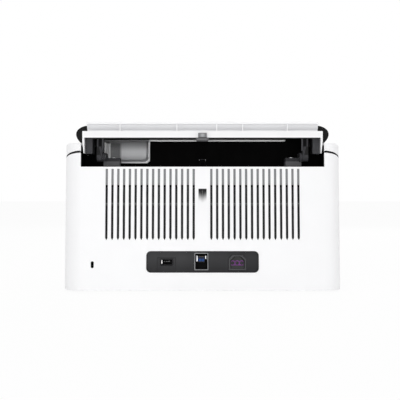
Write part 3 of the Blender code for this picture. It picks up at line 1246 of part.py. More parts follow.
def upper_guide():
    """The upper paper guide with the carriers of the free rollers, and its scan bar."""
    floor_gap = PATH_TOP_Z - (BAY_FLOOR_Z - FIT)
    far = PATH_GAP + GUIDE_THICKNESS
    rise = far * math.cos(PATH_ENTRY_ANGLE)
    start = (floor_gap + rise) / math.sin(PATH_ENTRY_ANGLE)
    guide = path_band(start, GUIDE_END_STATION, PATH_GAP, far, -GUIDE_HALF_WIDTH,
                      GUIDE_HALF_WIDTH)
    carriers = ((PICK_STATION, SEPARATION_RADIUS, CARRIER_X, SHAFT_RADIUS),
                (DRIVE_STATION, PINCH_RADIUS, PINCH_CARRIER_X, PINCH_SHAFT_RADIUS),
                (EXIT_STATION, EXIT_PINCH_RADIUS, PINCH_CARRIER_X, PINCH_SHAFT_RADIUS))
    for station, radius, x, shaft in carriers:
        reach = radius + CARRIER_REACH
        for left in (-x - CARRIER_THICKNESS, x):
            ear = path_band(station - CARRIER_HALF_LENGTH, station + CARRIER_HALF_LENGTH,
                            PATH_GAP + GUIDE_THICKNESS / 2, reach, left,
                            left + CARRIER_THICKNESS)
            fuse(guide, ear)
        centre = path_point(station, radius)
        bore = cylinder_x(shaft + FIT, -x - CARRIER_THICKNESS - OVERRUN,
                          x + CARRIER_THICKNESS + OVERRUN, *centre, SMALL_SIDES)
        carve(guide, bore)
    carve(guide, roller_windows(SEPARATION_CENTRE, SEPARATION_RADIUS, (0,)))
    for centre, radius in ((PINCH_CENTRE, PINCH_RADIUS), (EXIT_PINCH_CENTRE, EXIT_PINCH_RADIUS)):
        carve(guide, roller_windows(centre, radius, (-TYRE_CENTRE_X, TYRE_CENTRE_X)))
    carve(guide, sensor_window(1))
    piece(guide, "upper_paper_guide", "black")
    scan_bar(1, "upper_scan_bar", "upper_scan_glass")

    reach = CARRIER_X + CARRIER_THICKNESS
    separation = shaft_with_tyres(SEPARATION_RADIUS, SEPARATION_CENTRE, SHAFT_RADIUS,
                                  (-reach, reach), (0,), ROUND_SIDES)
    piece(separation, "separation_roller", "rubber")
    reach = PINCH_CARRIER_X + CARRIER_THICKNESS
    tyres = (-TYRE_CENTRE_X, TYRE_CENTRE_X)
    for name, centre, radius in (("upper_pinch_roller", PINCH_CENTRE, PINCH_RADIUS),
                                 ("exit_pinch_roller", EXIT_PINCH_CENTRE,
                                  EXIT_PINCH_RADIUS)):
        pinch = shaft_with_tyres(radius, centre, PINCH_SHAFT_RADIUS, (-reach, reach), tyres,
                                 SMALL_SIDES)
        piece(pinch, name, "natural")


def control_panel():
    """The dark bezel on the front, with four round push buttons."""
    face = front_y(PANEL_Z)
    bezel = panel_block(BEZEL_WIDTH, BEZEL_HEIGHT, 0, BEZEL_DEPTH)
    carve(bezel, panel_block(BEZEL_WIDTH - 2 * BEZEL_RIM, BEZEL_HEIGHT - 2 * BEZEL_RIM,
                             BEZEL_FACE, BEZEL_DEPTH + OVERRUN))
    for index, place in enumerate(BUTTON_PLACES):
        centre = (PANEL_X + place, PANEL_Z)
        hole = prism_y(circle(centre, BUTTON_RADIUS + FIT, ROUND_SIDES), face - OVERRUN,
                       face + BEZEL_FACE + FIT)
        carve(bezel, turn_x(hole, face, PANEL_Z, -FRONT_LEAN))
        back = face + BEZEL_FACE + FIT
        cap = prism_y(circle(centre, BUTTON_RADIUS, ROUND_SIDES), face - BUTTON_PROUD,
                      back + BUTTON_FLANGE + BUTTON_STEM)
        flange = prism_y(circle(centre, BUTTON_FLANGE_RADIUS, ROUND_SIDES), back,
                         back + BUTTON_FLANGE)
        button = turn_x(fuse(cap, flange), face, PANEL_Z, -FRONT_LEAN)
        piece(button, f"button_{index + 1}", "light_grey")
    piece(bezel, "control_bezel", "mid_grey")


# Tray: hinge, frame, lid and pan

def tray_hinge():
    """Brackets and pins on the hatch, and the tray's arms with their side blocks."""
    centre = (TRAY_PIVOT_Y, TRAY_PIVOT_Z)
    bottom = BAY_FLOOR_TOP_Z + FIT
    shelf = FRAME_TOP_Z - FRAME_WALL - FIT
    ear_inner = BRACKET_OUTER_X - BRACKET_EAR_WIDTH
    arm_outer = ARM_INNER_X + ARM_WIDTH
    arm_rear = FRAME_REAR_Y - FRAME_WALL - FIT
    for side, side_name in ((-1, "left"), (1, "right")):
        bracket = box(BRACKET_INNER_X, BRACKET_OUTER_X, BRACKET_FRONT_Y,
                      BAY_FLOOR_REAR_Y, bottom, BRACKET_TOP_Z)
        ear = arc(centre, EYE_RADIUS, -QUARTER, QUARTER, CORNER_STEPS)
        ear += [(BRACKET_FRONT_Y, TRAY_PIVOT_Z + EYE_RADIUS)]
        ear += [(BRACKET_FRONT_Y, TRAY_PIVOT_Z - EYE_RADIUS)]
        fuse(bracket, prism_x(ear, ear_inner, BRACKET_OUTER_X))
        carve(bracket, cylinder_x(TRAY_PIN_RADIUS + FIT, ear_inner - OVERRUN,
                                  BRACKET_OUTER_X + OVERRUN, *centre, SMALL_SIDES))
        pin = cylinder_x(TRAY_PIN_RADIUS, ear_inner, arm_outer, *centre, SMALL_SIDES)

        eye = arc(centre, EYE_RADIUS, math.pi, 2 * math.pi, CORNER_STEPS)
        eye += [(arm_rear, FRAME_BAND_Z - FIT), (arm_rear, shelf)]
        eye += [(TRAY_PIVOT_Y - EYE_RADIUS, shelf)]
        arm = prism_x(eye, ARM_INNER_X, arm_outer)
        carve(arm, cylinder_x(TRAY_PIN_RADIUS + FIT, ARM_INNER_X - OVERRUN,
                              arm_outer + OVERRUN, *centre, SMALL_SIDES))
        outer = FRAME_HALF_WIDTH - FRAME_WALL - FIT
        fuse(arm, box(ARM_INNER_X + FIT, outer, ARM_TIE_FRONT_Y,
                      arm_rear - FIT, shelf - ARM_TIE_HEIGHT, shelf))
        fuse(arm, box(SIDE_BLOCK_INNER_X, outer, SIDE_BLOCK_FRONT_Y - FIT,
                      SIDE_BLOCK_REAR_Y, FRAME_BOTTOM_Z, shelf - FIT))
        for part, name, finish in ((bracket, "hinge_bracket", "mid_grey"),
                                   (pin, "tray_hinge_pin", "steel"),
                                   (arm, "tray_arm", "mid_grey")):
            if side < 0:
                mirrored(part)
            piece(part, f"{name}_{side_name}", finish)


def tray_frame():
    """The white hinge-end frame and the grey tab in its middle."""
    frame = box(-FRAME_HALF_WIDTH, FRAME_HALF_WIDTH, FRAME_FRONT_Y, FRAME_REAR_Y,
                FRAME_BOTTOM_Z, FRAME_TOP_Z)
    tapered = FRAME_HALF_WIDTH - FRAME_TAPER
    wide = FRAME_HALF_WIDTH + FIT
    outline = [(-tapered, FRAME_BOTTOM_Z - OVERRUN), (tapered, FRAME_BOTTOM_Z - OVERRUN)]
    outline += [(tapered, FRAME_BOTTOM_Z), (wide, FRAME_BAND_Z), (wide, FRAME_TOP_Z + OVERRUN)]
    outline += [(-wide, FRAME_TOP_Z + OVERRUN), (-wide, FRAME_BAND_Z)]
    outline += [(-tapered, FRAME_BOTTOM_Z)]
    shared(frame, prism_y(outline, FRAME_FRONT_Y - OVERRUN, FRAME_REAR_Y + OVERRUN))
    inner = FRAME_HALF_WIDTH - FRAME_WALL
    carve(frame, box(-inner, inner, FRAME_FRONT_Y - OVERRUN, FRAME_REAR_Y - FRAME_WALL,
                     FRAME_BOTTOM_Z - OVERRUN, FRAME_TOP_Z - FRAME_WALL))
    carve(frame, box(-inner, inner, FRAME_REAR_Y - OVERRUN, FRAME_REAR_Y + OVERRUN,
                     FRAME_BOTTOM_Z - OVERRUN, FRAME_BAND_Z))
    piece(frame, "tray_frame", "white")
    rear = FRAME_REAR_Y + FIT
    low = FRAME_BAND_Z - TAB_FOOT_HEIGHT
    tab = box(-TAB_WIDTH / 2, TAB_WIDTH / 2, rear, rear + TAB_THICKNESS, low, low + TAB_HEIGHT)
    fuse(tab, box(-TAB_FOOT_WIDTH / 2, TAB_FOOT_WIDTH / 2, rear, rear + TAB_THICKNESS, low,
                  FRAME_BAND_Z))
    piece(tab, "tray_tab", "light_grey")


def tray_lid():
    """The white top of the tray with its ribs and the extension's rails."""
    lid = box(-LID_HALF_WIDTH, LID_HALF_WIDTH, LID_FRONT_Y, LID_REAR_Y + LID_EAVE, LID_INNER_Z,
              BODY_HEIGHT)
    fuse(lid, box(-LID_HALF_WIDTH, LID_HALF_WIDTH, LID_FRONT_Y, LID_FRONT_Y + LID_THICKNESS,
                  LID_BOTTOM_Z, BODY_HEIGHT - LID_THICKNESS / 2))
    shelf = FRAME_TOP_Z + FIT
    fuse(lid, box(-LID_HALF_WIDTH, LID_HALF_WIDTH, LID_REAR_Y - LID_THICKNESS, LID_REAR_Y,
                  shelf, BODY_HEIGHT - LID_THICKNESS / 2))
    inside = LID_REAR_Y - LID_THICKNESS / 2
    rooted = LID_INNER_Z + LID_THICKNESS / 2
    gusset = [(inside, shelf), (LID_REAR_Y + LID_RIB_LENGTH, shelf)]
    gusset += [(LID_REAR_Y + LID_RIB_LENGTH, rooted), (inside, rooted)]
    for share in LID_RIB_SHARES:
        x = share * LID_HALF_WIDTH
        fuse(lid, prism_x(gusset, x - LID_RIB_THICKNESS / 2, x + LID_RIB_THICKNESS / 2))
    rail_x = EXTENSION_HALF_WIDTH + FIT
    under = EXTENSION_Z - FIT
    hanger = [(rail_x, LID_INNER_Z + LID_THICKNESS / 2), (rail_x, under)]
    hanger += [(rail_x - RAIL_LEDGE, under), (rail_x - RAIL_LEDGE, under - RAIL_LEDGE_THICKNESS)]
    hanger += [(rail_x + RAIL_WALL, under - RAIL_LEDGE_THICKNESS)]
    hanger += [(rail_x + RAIL_WALL, LID_INNER_Z + LID_THICKNESS / 2)]
    rail_front = TUB_FRONT_Y + TUB_WALL + FIT
    slot_half = EXTENSION_HALF_WIDTH + FIT
    carve(lid, box(-slot_half, slot_half, LID_FRONT_Y - OVERRUN, LID_FRONT_Y + OVERRUN,
                   LID_BOTTOM_Z - OVERRUN, EXTENSION_Z + EXTENSION_THICKNESS + FIT))
    for side in (-1, 1):
        rail = prism_y(hanger, rail_front, RAIL_REAR_Y)
        fuse(lid, rail if side > 0 else mirrored(rail))
    piece(lid, "tray_lid", "white")


def tray_cheeks():
    """The black rounded ends of the tray."""
    inner = LID_HALF_WIDTH + FIT
    waist = CHEEK_TOP_Z - CHEEK_CROWN_HEIGHT
    outline = [(inner, CHEEK_TOP_Z), (inner, CHEEK_BOTTOM_Z)]
    for step in range(CHEEK_STEPS):
        share = 1 - step / CHEEK_STEPS
        outline.append((CHEEK_HALF_WIDTH - CHEEK_TUCK * share * share,
                        waist - (waist - CHEEK_BOTTOM_Z) * share))
    for step in range(CHEEK_STEPS + 1):
        angle = QUARTER * step / CHEEK_STEPS
        outline.append((CHEEK_HALF_WIDTH - CHEEK_CROWN_WIDTH * (1 - math.cos(angle)),
                        waist + CHEEK_CROWN_HEIGHT * math.sin(angle)))
    length = CHEEK_REAR_Y - LID_FRONT_Y + FRONT_CORNER_RADIUS
    plan = rounded_rectangle((0, CHEEK_REAR_Y - length / 2 + FRONT_CORNER_RADIUS),
                             2 * CHEEK_HALF_WIDTH, length, FRONT_CORNER_RADIUS, CHEEK_STEPS)
    for side, side_name in ((-1, "left"), (1, "right")):
        cheek = prism_y(outline, LID_FRONT_Y - OVERRUN, CHEEK_REAR_Y)
        shared(cheek, prism_z(plan, CHEEK_BOTTOM_Z - OVERRUN, CHEEK_TOP_Z + OVERRUN))
        if side < 0:
            mirrored(cheek)
        piece(cheek, f"tray_cheek_{side_name}", "black")


def slot_outline():
    """The slot in the pan for the right width guide's stem."""
    rack = PINION_Y + GEAR_RADIUS + GEAR_DEDENDUM_SHARE * GEAR_MODULE
    left = WIDTH_GUIDE_X - WIDTH_GUIDE_THICKNESS - WIDTH_GUIDE_STEM - GUIDE_TRAVEL
    right = WIDTH_GUIDE_X - WIDTH_GUIDE_THICKNESS
    return (left - SLOT_MARGIN, right + SLOT_MARGIN, rack - SLOT_MARGIN,
            rack + RACK_BACK + SLOT_MARGIN)


def tray_pan():
    """The black pan whose underside carries the paper, with the pinion's stud."""
    pan = box(-LID_HALF_WIDTH, LID_HALF_WIDTH, PAN_FRONT_Y, PAN_REAR_Y, PAN_Z, PAN_TOP_Z)
    wall_top = LID_INNER_Z - FIT
    for left in (-LID_HALF_WIDTH, LID_HALF_WIDTH - PAN_WALL):
        fuse(pan, box(left, left + PAN_WALL, PAN_FRONT_Y, PAN_REAR_Y, PAN_Z, wall_top))
    under = EXTENSION_Z - FIT - RAIL_LEDGE_THICKNESS - FIT
    fuse(pan, box(-LID_HALF_WIDTH, LID_HALF_WIDTH, PAN_FRONT_Y, PAN_FRONT_Y + PAN_WALL, PAN_Z,
                  under))
    stud = circle((0, PINION_Y), PINION_STUD_RADIUS, SMALL_SIDES)
    fuse(pan, prism_z(stud, PAN_TOP_Z - PAN_THICKNESS / 2, PAN_TOP_Z + FIT + RACK_HEIGHT))
    for side in (-1, 1):
        left, right, front, rear = slot_outline()
        cutter = box(left, right, front, rear, PAN_Z - OVERRUN, PAN_TOP_Z + OVERRUN)
        if side < 0:
            half_turned(cutter, PINION_Y)
        carve(pan, cutter)
    piece(pan, "tray_pan", "black")


def tray_extension():
    """The sliding extension with a half-round grip at its end."""
    front = LID_FRONT_Y + FIT
    plate = box(-EXTENSION_HALF_WIDTH, EXTENSION_HALF_WIDTH, front, EXTENSION_REAR_Y,
                EXTENSION_Z, EXTENSION_Z + EXTENSION_THICKNESS)
    grip = prism_z(circle((0, front), EXTENSION_GRIP_RADIUS, ROUND_SIDES),
                   EXTENSION_Z - OVERRUN, EXTENSION_Z + OVERRUN)
    piece(carve(plate, grip), "tray_extension", "mid_grey")


def width_guides():
    """The two width guides with their racks, and the pinion between them."""
    bottom = PAN_TOP_Z + FIT
    top = bottom + RACK_HEIGHT
    pitch = math.pi * GEAR_MODULE
    pitch_line = PINION_Y + GEAR_RADIUS
    root = pitch_line + GEAR_DEDENDUM_SHARE * GEAR_MODULE
    tip = pitch_line - GEAR_ADDENDUM_SHARE * GEAR_MODULE
    end = WIDTH_GUIDE_X - WIDTH_GUIDE_THICKNESS
    outline = [(end, root + RACK_BACK), (RACK_INNER_X, root + RACK_BACK), (RACK_INNER_X, root)]
    first = math.ceil((RACK_INNER_X + pitch / 2) / pitch - 1 / 2)
    for tooth in range(first, first + RACK_TEETH):
        middle = (tooth + 1 / 2) * pitch
        for y, share in ((root, -TOOTH_ROOT_SHARE), (tip, -TOOTH_TIP_SHARE),
                         (tip, TOOTH_TIP_SHARE), (root, TOOTH_ROOT_SHARE)):
            outline.append((middle + share * pitch, y))
    outline.append((end, root))
    foot_top = PAN_Z - FIT
    foot_bottom = foot_top - WIDTH_GUIDE_THICKNESS
    for side, side_name in ((1, "right"), (-1, "left")):
        guide = box(end, WIDTH_GUIDE_X, PINION_Y - WIDTH_GUIDE_LENGTH / 2,
                    PINION_Y + WIDTH_GUIDE_LENGTH / 2, WIDTH_GUIDE_BOTTOM_Z, foot_top)
        middle = root + RACK_BACK / 2
        fuse(guide, box(end - WIDTH_GUIDE_STEM, end + WIDTH_GUIDE_THICKNESS / 2,
                        middle - WIDTH_GUIDE_FOOT / 2, middle + WIDTH_GUIDE_FOOT / 2,
                        foot_bottom, foot_top))
        rack = prism_z(outline, bottom, top)
        fuse(rack, box(end - WIDTH_GUIDE_STEM, end, root + FIT, root + RACK_BACK - FIT,
                       foot_bottom + WIDTH_GUIDE_THICKNESS / 2, top - RACK_HEIGHT / 2))
        fuse(guide, rack)
        if side < 0:
            half_turned(guide, PINION_Y)
        piece(guide, f"width_guide_{side_name}", "mid_grey")
    pinion = prism_z(gear_outline((0, PINION_Y), QUARTER), bottom, top)
    carve(pinion, prism_z(circle((0, PINION_Y), PINION_STUD_RADIUS + FIT, SMALL_SIDES),
                          bottom - OVERRUN, top + OVERRUN))
    piece(pinion, "guide_pinion", "natural")


# Output tray, its extension and the paper stop

def output_tray():
    """The sliding tray under the output slot."""
    front = -HALF_DEPTH + OUTPUT_FRONT_INSET
    floor = OUTPUT_Z + OUTPUT_THICKNESS
    half = OUTPUT_HALF_WIDTH
    top = OUTPUT_Z + OUTPUT_RIM_HEIGHT
    tray = box(-half, half, front, OUTPUT_REAR_Y, OUTPUT_Z, top)
    wall = OUTPUT_RIM_WALL
    carve(tray, box(wall - half, half - wall, front + wall, OUTPUT_REAR_Y + OVERRUN, floor,
                    top + OVERRUN))
    gap = OUTER_EXTENSION_HALF + OUTPUT_SLIDE_GAP
    carve(tray, box(-gap, gap, front - OVERRUN, front + OVERRUN, floor, top + OVERRUN))
    piece(tray, "output_tray", "mid_grey")

    low = floor + FIT
    high = low + OUTER_EXTENSION_THICKNESS
    outer = OUTER_EXTENSION_HALF
    plate = box(-outer, outer, front, OUTER_EXTENSION_REAR_Y, low, high)
    fuse(plate, box(-outer, outer, front, front + wall, low, top))
    pivot_y = front + STOP_FRONT_INSET
    pivot_z = high + FIT + STOP_THICKNESS / 2
    radius = STOP_PIN_RADIUS + STOP_BORE_GAP
    for side in (-1, 1):
        inner = STOP_HALF_WIDTH + FIT
        ear = box(inner, inner + STOP_EAR_WIDTH, pivot_y - STOP_EAR_HALF_LENGTH,
                  pivot_y + STOP_EAR_HALF_LENGTH, high - OUTER_EXTENSION_THICKNESS / 2,
                  pivot_z + STOP_THICKNESS)
        fuse(plate, ear if side > 0 else mirrored(ear))
    reach = STOP_HALF_WIDTH + FIT + STOP_EAR_WIDTH + OVERRUN
    carve(plate, cylinder_x(radius, -reach, reach, pivot_y, pivot_z, SMALL_SIDES))
    piece(plate, "output_extension", "mid_grey")

    half_thickness = STOP_THICKNESS / 2
    outline = arc((pivot_y, pivot_z), half_thickness, QUARTER, 3 * QUARTER, CORNER_STEPS)
    outline += [(pivot_y + STOP_LENGTH, pivot_z - half_thickness)]
    outline += [(pivot_y + STOP_LENGTH, pivot_z + half_thickness)]
    stop = prism_x(outline, -STOP_HALF_WIDTH, STOP_HALF_WIDTH)
    reach = STOP_HALF_WIDTH + FIT + STOP_EAR_WIDTH
    fuse(stop, cylinder_x(STOP_PIN_RADIUS, -reach, reach, pivot_y, pivot_z, SMALL_SIDES))
    piece(stop, "paper_stop", "mid_grey")
    return (0, pivot_y, pivot_z)


# Assembly: each moving body hangs on an empty at its joint's axis

def carry(name, place, members, parent=None):
    """An empty on a joint's axis, with its pieces and its parent's empty."""
    axis = bpy.data.objects.new(name, None)
    bpy.context.scene.collection.objects.link(axis)
    axis.location = place
    bpy.context.view_layer.update()
    if parent:
        axis.parent = parent
        axis.matrix_parent_inverse = parent.matrix_world.inverted()
    for member in members:
        item = bpy.data.objects[member]
        item.parent = axis
        item.matrix_parent_inverse = axis.matrix_world.inverted()
    bpy.context.view_layer.update()
    return axis


def assemble(stop_place):
    """Hang each moving piece on its joint's axis."""
    hatch = carry("hatch_axis", (0, HATCH_PIVOT_Y, HATCH_PIVOT_Z),
                  ("hatch_shell", "paper_tub", "bay_trim", "hinge_bracket_left",
                   "hinge_bracket_right", "tray_hinge_pin_left", "tray_hinge_pin_right",
                   "upper_paper_guide", "upper_scan_bar", "upper_scan_glass",
                   "control_bezel"))
    tray = carry("tray_axis", (0, TRAY_PIVOT_Y, TRAY_PIVOT_Z),
                 ("tray_arm_left", "tray_arm_right", "tray_frame", "tray_tab", "tray_lid",
                  "tray_cheek_left", "tray_cheek_right", "tray_pan"), hatch)
    carry("tray_extension_axis", (0, LID_FRONT_Y, EXTENSION_Z), ("tray_extension",), tray)
    rack_z = PAN_TOP_Z + FIT
    carry("guide_left_axis", (-WIDTH_GUIDE_X, PINION_Y, rack_z), ("width_guide_left",), tray)
    carry("guide_right_axis", (WIDTH_GUIDE_X, PINION_Y, rack_z), ("width_guide_right",), tray)
    carry("pinion_axis", (0, PINION_Y, rack_z), ("guide_pinion",), tray)
    for index, place in enumerate(BUTTON_PLACES):
        centre = (PANEL_X + place, front_y(PANEL_Z), PANEL_Z)
        carry(f"button_axis_{index + 1}", centre, (f"button_{index + 1}",), hatch)
    for name, centre in (("separation_roller", SEPARATION_CENTRE),
                         ("upper_pinch_roller", PINCH_CENTRE),
                         ("exit_pinch_roller", EXIT_PINCH_CENTRE)):
        carry(f"{name}_axis", (0, *centre), (name,), hatch)
    for name, centre in (("pick_roller", PICK_CENTRE), ("drive_roller", DRIVE_CENTRE),
                         ("idler_gear", IDLER_CENTRE), ("exit_roller", EXIT_CENTRE),
                         ("motor_rotor", (MOTOR_Y, MOTOR_Z))):
        carry(f"{name}_axis", (0, *centre), (name,))
    tray_place = (0, -HALF_DEPTH + OUTPUT_FRONT_INSET, OUTPUT_Z)
    output = carry("output_tray_axis", tray_place, ("output_tray",))
    extension = carry("output_extension_axis", tray_place, ("output_extension",), output)
    carry("paper_stop_axis", stop_place, ("paper_stop",), extension)


def build():
    """Model the whole scanner."""
    clear_scene()
    rear_cover()
    base_plate()
    feet()
    port_panel()
    main_board()
    side_plates()
    lower_guide()
    drive_train()
    hatch_shell()
    paper_tub()
    bay_trim()
    upper_guide()
    control_panel()
    tray_hinge()
    tray_frame()
    tray_lid()
    tray_cheeks()
    tray_pan()
    tray_extension()
    width_guides()
    stop_place = output_tray()
    assemble(stop_place)


build()
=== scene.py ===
import json
import math

import bmesh
import bpy
from mathutils import Matrix, Vector


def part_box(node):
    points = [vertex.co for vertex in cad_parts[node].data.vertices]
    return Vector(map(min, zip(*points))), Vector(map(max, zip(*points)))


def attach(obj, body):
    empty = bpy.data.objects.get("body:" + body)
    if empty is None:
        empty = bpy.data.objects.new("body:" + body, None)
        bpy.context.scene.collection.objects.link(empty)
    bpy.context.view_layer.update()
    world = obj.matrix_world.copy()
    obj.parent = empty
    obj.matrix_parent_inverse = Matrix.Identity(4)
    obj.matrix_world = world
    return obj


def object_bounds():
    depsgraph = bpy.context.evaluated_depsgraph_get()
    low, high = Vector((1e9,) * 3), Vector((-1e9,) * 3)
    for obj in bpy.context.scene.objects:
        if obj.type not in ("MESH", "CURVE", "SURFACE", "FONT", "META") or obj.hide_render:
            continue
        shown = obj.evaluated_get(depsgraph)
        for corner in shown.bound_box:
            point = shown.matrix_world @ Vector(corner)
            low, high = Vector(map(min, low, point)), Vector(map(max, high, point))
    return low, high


mm = 0.001

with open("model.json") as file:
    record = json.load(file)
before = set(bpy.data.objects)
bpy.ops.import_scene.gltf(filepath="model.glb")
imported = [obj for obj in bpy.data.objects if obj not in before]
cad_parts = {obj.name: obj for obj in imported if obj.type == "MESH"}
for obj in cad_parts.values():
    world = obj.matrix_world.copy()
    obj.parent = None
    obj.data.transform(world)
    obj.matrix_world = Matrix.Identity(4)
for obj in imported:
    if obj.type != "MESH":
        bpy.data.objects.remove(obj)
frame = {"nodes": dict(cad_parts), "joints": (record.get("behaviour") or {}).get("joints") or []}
cad_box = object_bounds()
nodes = frame["nodes"]

# Places, in millimetres
REAR_LEAN = math.radians(4)  # the rear's lean
REAR_FOOT = 2                # the height where the lean starts
SKIN_Y = 99                  # the outer skin at that height
PANEL_Y = 96.6               # the port panel at that height
DATA_X = 1.3                 # the ports' centres
SERVICE_X = 39.7
POWER_X = -38.7
SIDES = ((-1, "left"), (1, "right"))

# Limits of the modifiers
SHARP_ABOVE = math.radians(28)   # edges that shade sharp
SOFTEN_ABOVE = math.radians(32)  # edges that get a bevel
FLAT_WITHIN = math.radians(0.4)  # faces that are joined
WELD_WITHIN = 0.00001            # corners that are joined, in metres


# Node trees


def rgb(red, green, blue):
    """Screen values from 0 to 255 as a linear colour."""
    def linear(value):
        value = value / 255
        return value / 12.92 if value <= 0.04045 else ((value + 0.055) / 1.055) ** 2.4
    return (linear(red), linear(green), linear(blue), 1.0)


def scaled(colour, factor, lift=0.0):
    """A colour made darker or paler."""
    return tuple(min(1.0, channel * factor + lift) for channel in colour[:3]) + (1.0,)


class Graph:
    """The node tree of a material or a world, with the steps that they share."""

    def __init__(self, owner):
        owner.use_nodes = True
        self.owner = owner
        self.tree = owner.node_tree
        self.tree.nodes.clear()
        self.places = {}

    def add(self, kind, settings=None, numbered=None, **named):
        """A node with its settings and inputs. Names have underscores for spaces."""
        node = self.tree.nodes.new(kind)
        for key, value in (settings or {}).items():
            setattr(node, key, value)
        inputs = dict(numbered or {})
        inputs.update((key.replace("_", " "), value) for key, value in named.items())
        for key, value in inputs.items():
            if isinstance(value, bpy.types.NodeSocket):
                self.tree.links.new(value, node.inputs[key])
            elif value is not None:
                node.inputs[key].default_value = value
        return node

    def sum_of(self, operation, *values, clamp=False):
        """One step of arithmetic."""
        settings = {"operation": operation, "use_clamp": clamp}
        return self.add("ShaderNodeMath", settings, dict(enumerate(values))).outputs[0]

    def plus(self, first, second):
        return self.sum_of("ADD", first, second)

    def minus(self, first, second):
        return self.sum_of("SUBTRACT", first, second)

    def times(self, *values):
        """The product of several values."""
        result = values[0]
        for value in values[1:]:
            result = self.sum_of("MULTIPLY", result, value)
        return result

    def away(self, value, centre=None):
        """How far a value is from zero, or from a centre."""
        if centre is not None:
            value = self.minus(value, centre)
        return self.sum_of("ABSOLUTE", value)

    def radius(self, across, up):
        """The distance from an axis."""
        return self.sum_of("SQRT", self.plus(self.times(across, across), self.times(up, up)))

    def mix(self, share, first, second):
        """A colour between two colours."""
        inputs = {0: share, 6: first, 7: second}
        return self.add("ShaderNodeMix", {"data_type": "RGBA"}, inputs).outputs[2]

    def coats(self, tone, *coats):
        """A tone under coats, each with a mask and a colour."""
        for mask, colour in coats:
            tone = self.mix(mask, tone, colour)
        return tone

    def remap(self, value, low, high, to_low=0.0, to_high=1.0, smooth=False):
        """A value carried from one span to another, and held at its ends."""
        kind = "SMOOTHSTEP" if smooth else "LINEAR"
        node = self.add("ShaderNodeMapRange", {"interpolation_type": kind, "clamp": True},
                        Value=value, From_Min=low, From_Max=high, To_Min=to_low, To_Max=to_high)
        return node.outputs["Result"]

    def rise(self, value, low, high, smooth=False):
        """From 0 to 1 between two limits in millimetres."""
        return self.remap(value, low * mm, high * mm, 0.0, 1.0, smooth)

    def fall(self, value, low, high, smooth=False, top=1.0):
        """From 1, or a lower top, to 0 between two limits in millimetres."""
        return self.remap(value, low * mm, high * mm, top, 0.0, smooth)

    def within(self, value, low, high, edge=0.15):
        """1 between two limits in millimetres, with soft edges."""
        return self.times(self.rise(value, low - edge, low + edge),
                          self.fall(value, high - edge, high + edge))

    def place(self, stretch=(1.0, 1.0, 1.0)):
        """The object's own coordinates, stretched along each axis."""
        if stretch not in self.places:
            own = self.add("ShaderNodeTexCoord").outputs["Object"]
            mapping = self.add("ShaderNodeMapping", Vector=own, Scale=stretch)
            self.places[stretch] = mapping.outputs["Vector"]
        return self.places[stretch]

    def split(self, vector):
        """The three parts of a vector."""
        return self.add("ShaderNodeSeparateXYZ", Vector=vector).outputs

    def parts(self):
        """The three parts of the object's own coordinates."""
        return self.split(self.place())

    def upward(self):
        """How far a face looks up in the object's own frame, from -1 to 1."""
        return self.split(self.add("ShaderNodeTexCoord").outputs["Normal"])[2]

    def depth_behind(self, face):
        """How far a point lies inside the leaning rear face that stands at a Y."""
        _, y, z = self.parts()
        across = self.times(self.minus(face * mm, y), math.cos(REAR_LEAN))
        up = self.times(self.minus(REAR_FOOT * mm, z), math.sin(REAR_LEAN))
        return self.plus(across, up)

    def noise(self, scale, detail=3.0, roughness=0.55, stretch=(1.0, 1.0, 1.0)):
        """A noise value from 0 to 1."""
        return self.add("ShaderNodeTexNoise", Vector=self.place(stretch), Scale=scale,
                        Detail=detail, Roughness=roughness).outputs[0]

    def plastic(self, colour, grain, shade):
        """A moulded face's tone, with slight drift, and its smear and its speck."""
        drift = self.noise(26.0, 4.0)
        speck = self.noise(grain, 2.0, 0.7)
        smear = self.noise(90.0, 5.0, 0.65, (1.0, 1.0, 0.35))
        darker = scaled(colour, 1 - shade)
        tone = self.mix(self.remap(drift, 0.3, 0.7, smooth=True), darker, colour)
        tone = self.mix(self.remap(speck, 0.35, 0.75, 0.0, 0.35), tone, darker)
        return tone, smear, speck

    def gloss(self, smear, low, high):
        """A roughness that follows the smear."""
        return self.remap(smear, 0.3, 0.75, low, high)

    def grained(self, speck, smear):
        """The height of a moulded face."""
        return self.plus(speck, self.times(smear, 0.4))

    def seen(self):
        """1 for what the camera sees, straight, mirrored or through glass."""
        rays = self.add("ShaderNodeLightPath").outputs
        direct = self.sum_of("MAXIMUM", rays["Is Camera Ray"], rays["Is Glossy Ray"])
        return self.sum_of("MAXIMUM", direct, rays["Is Transmission Ray"])

    def finish(self, tone, gloss, height=None, depth=0.0, strength=0.6, metallic=0.0,
               specular=0.5, **plain):
        """The shader and the output, with a bump whose depth is in millimetres."""
        normal = None
        if height is not None:
            normal = self.add("ShaderNodeBump", Height=height, Distance=depth * mm,
                              Strength=strength).outputs["Normal"]
        shader = self.add("ShaderNodeBsdfPrincipled", Base_Color=tone, Roughness=gloss,
                          Metallic=metallic, Normal=normal, Specular_IOR_Level=specular, **plain)
        self.add("ShaderNodeOutputMaterial", Surface=shader.outputs[0])
        return self.owner


def new_material(name):
    """An empty material's graph."""
    return Graph(bpy.data.materials.new(name))


# Materials


def moulded(name, colour, roughness, grain, depth, shade, specular=0.5, worn=0.0,
            worn_colour=None):
    """Moulded plastic with a fine spark eroded grain, slight colour drift and handling marks."""
    g = new_material(name)
    tone, smear, speck = g.plastic(colour, grain, shade)
    gloss = g.gloss(smear, roughness - 0.05, roughness + 0.07)
    if worn:
        paler_patches = g.remap(g.noise(420.0, 4.0, 0.7), 0.42, 0.62, 0.0, worn, True)
        tone = g.mix(paler_patches, tone, worn_colour)
        gloss = g.sum_of("MULTIPLY_ADD", paler_patches, -0.12, roughness)
    return g.finish(tone, gloss, g.grained(speck, smear), depth, specular=specular)


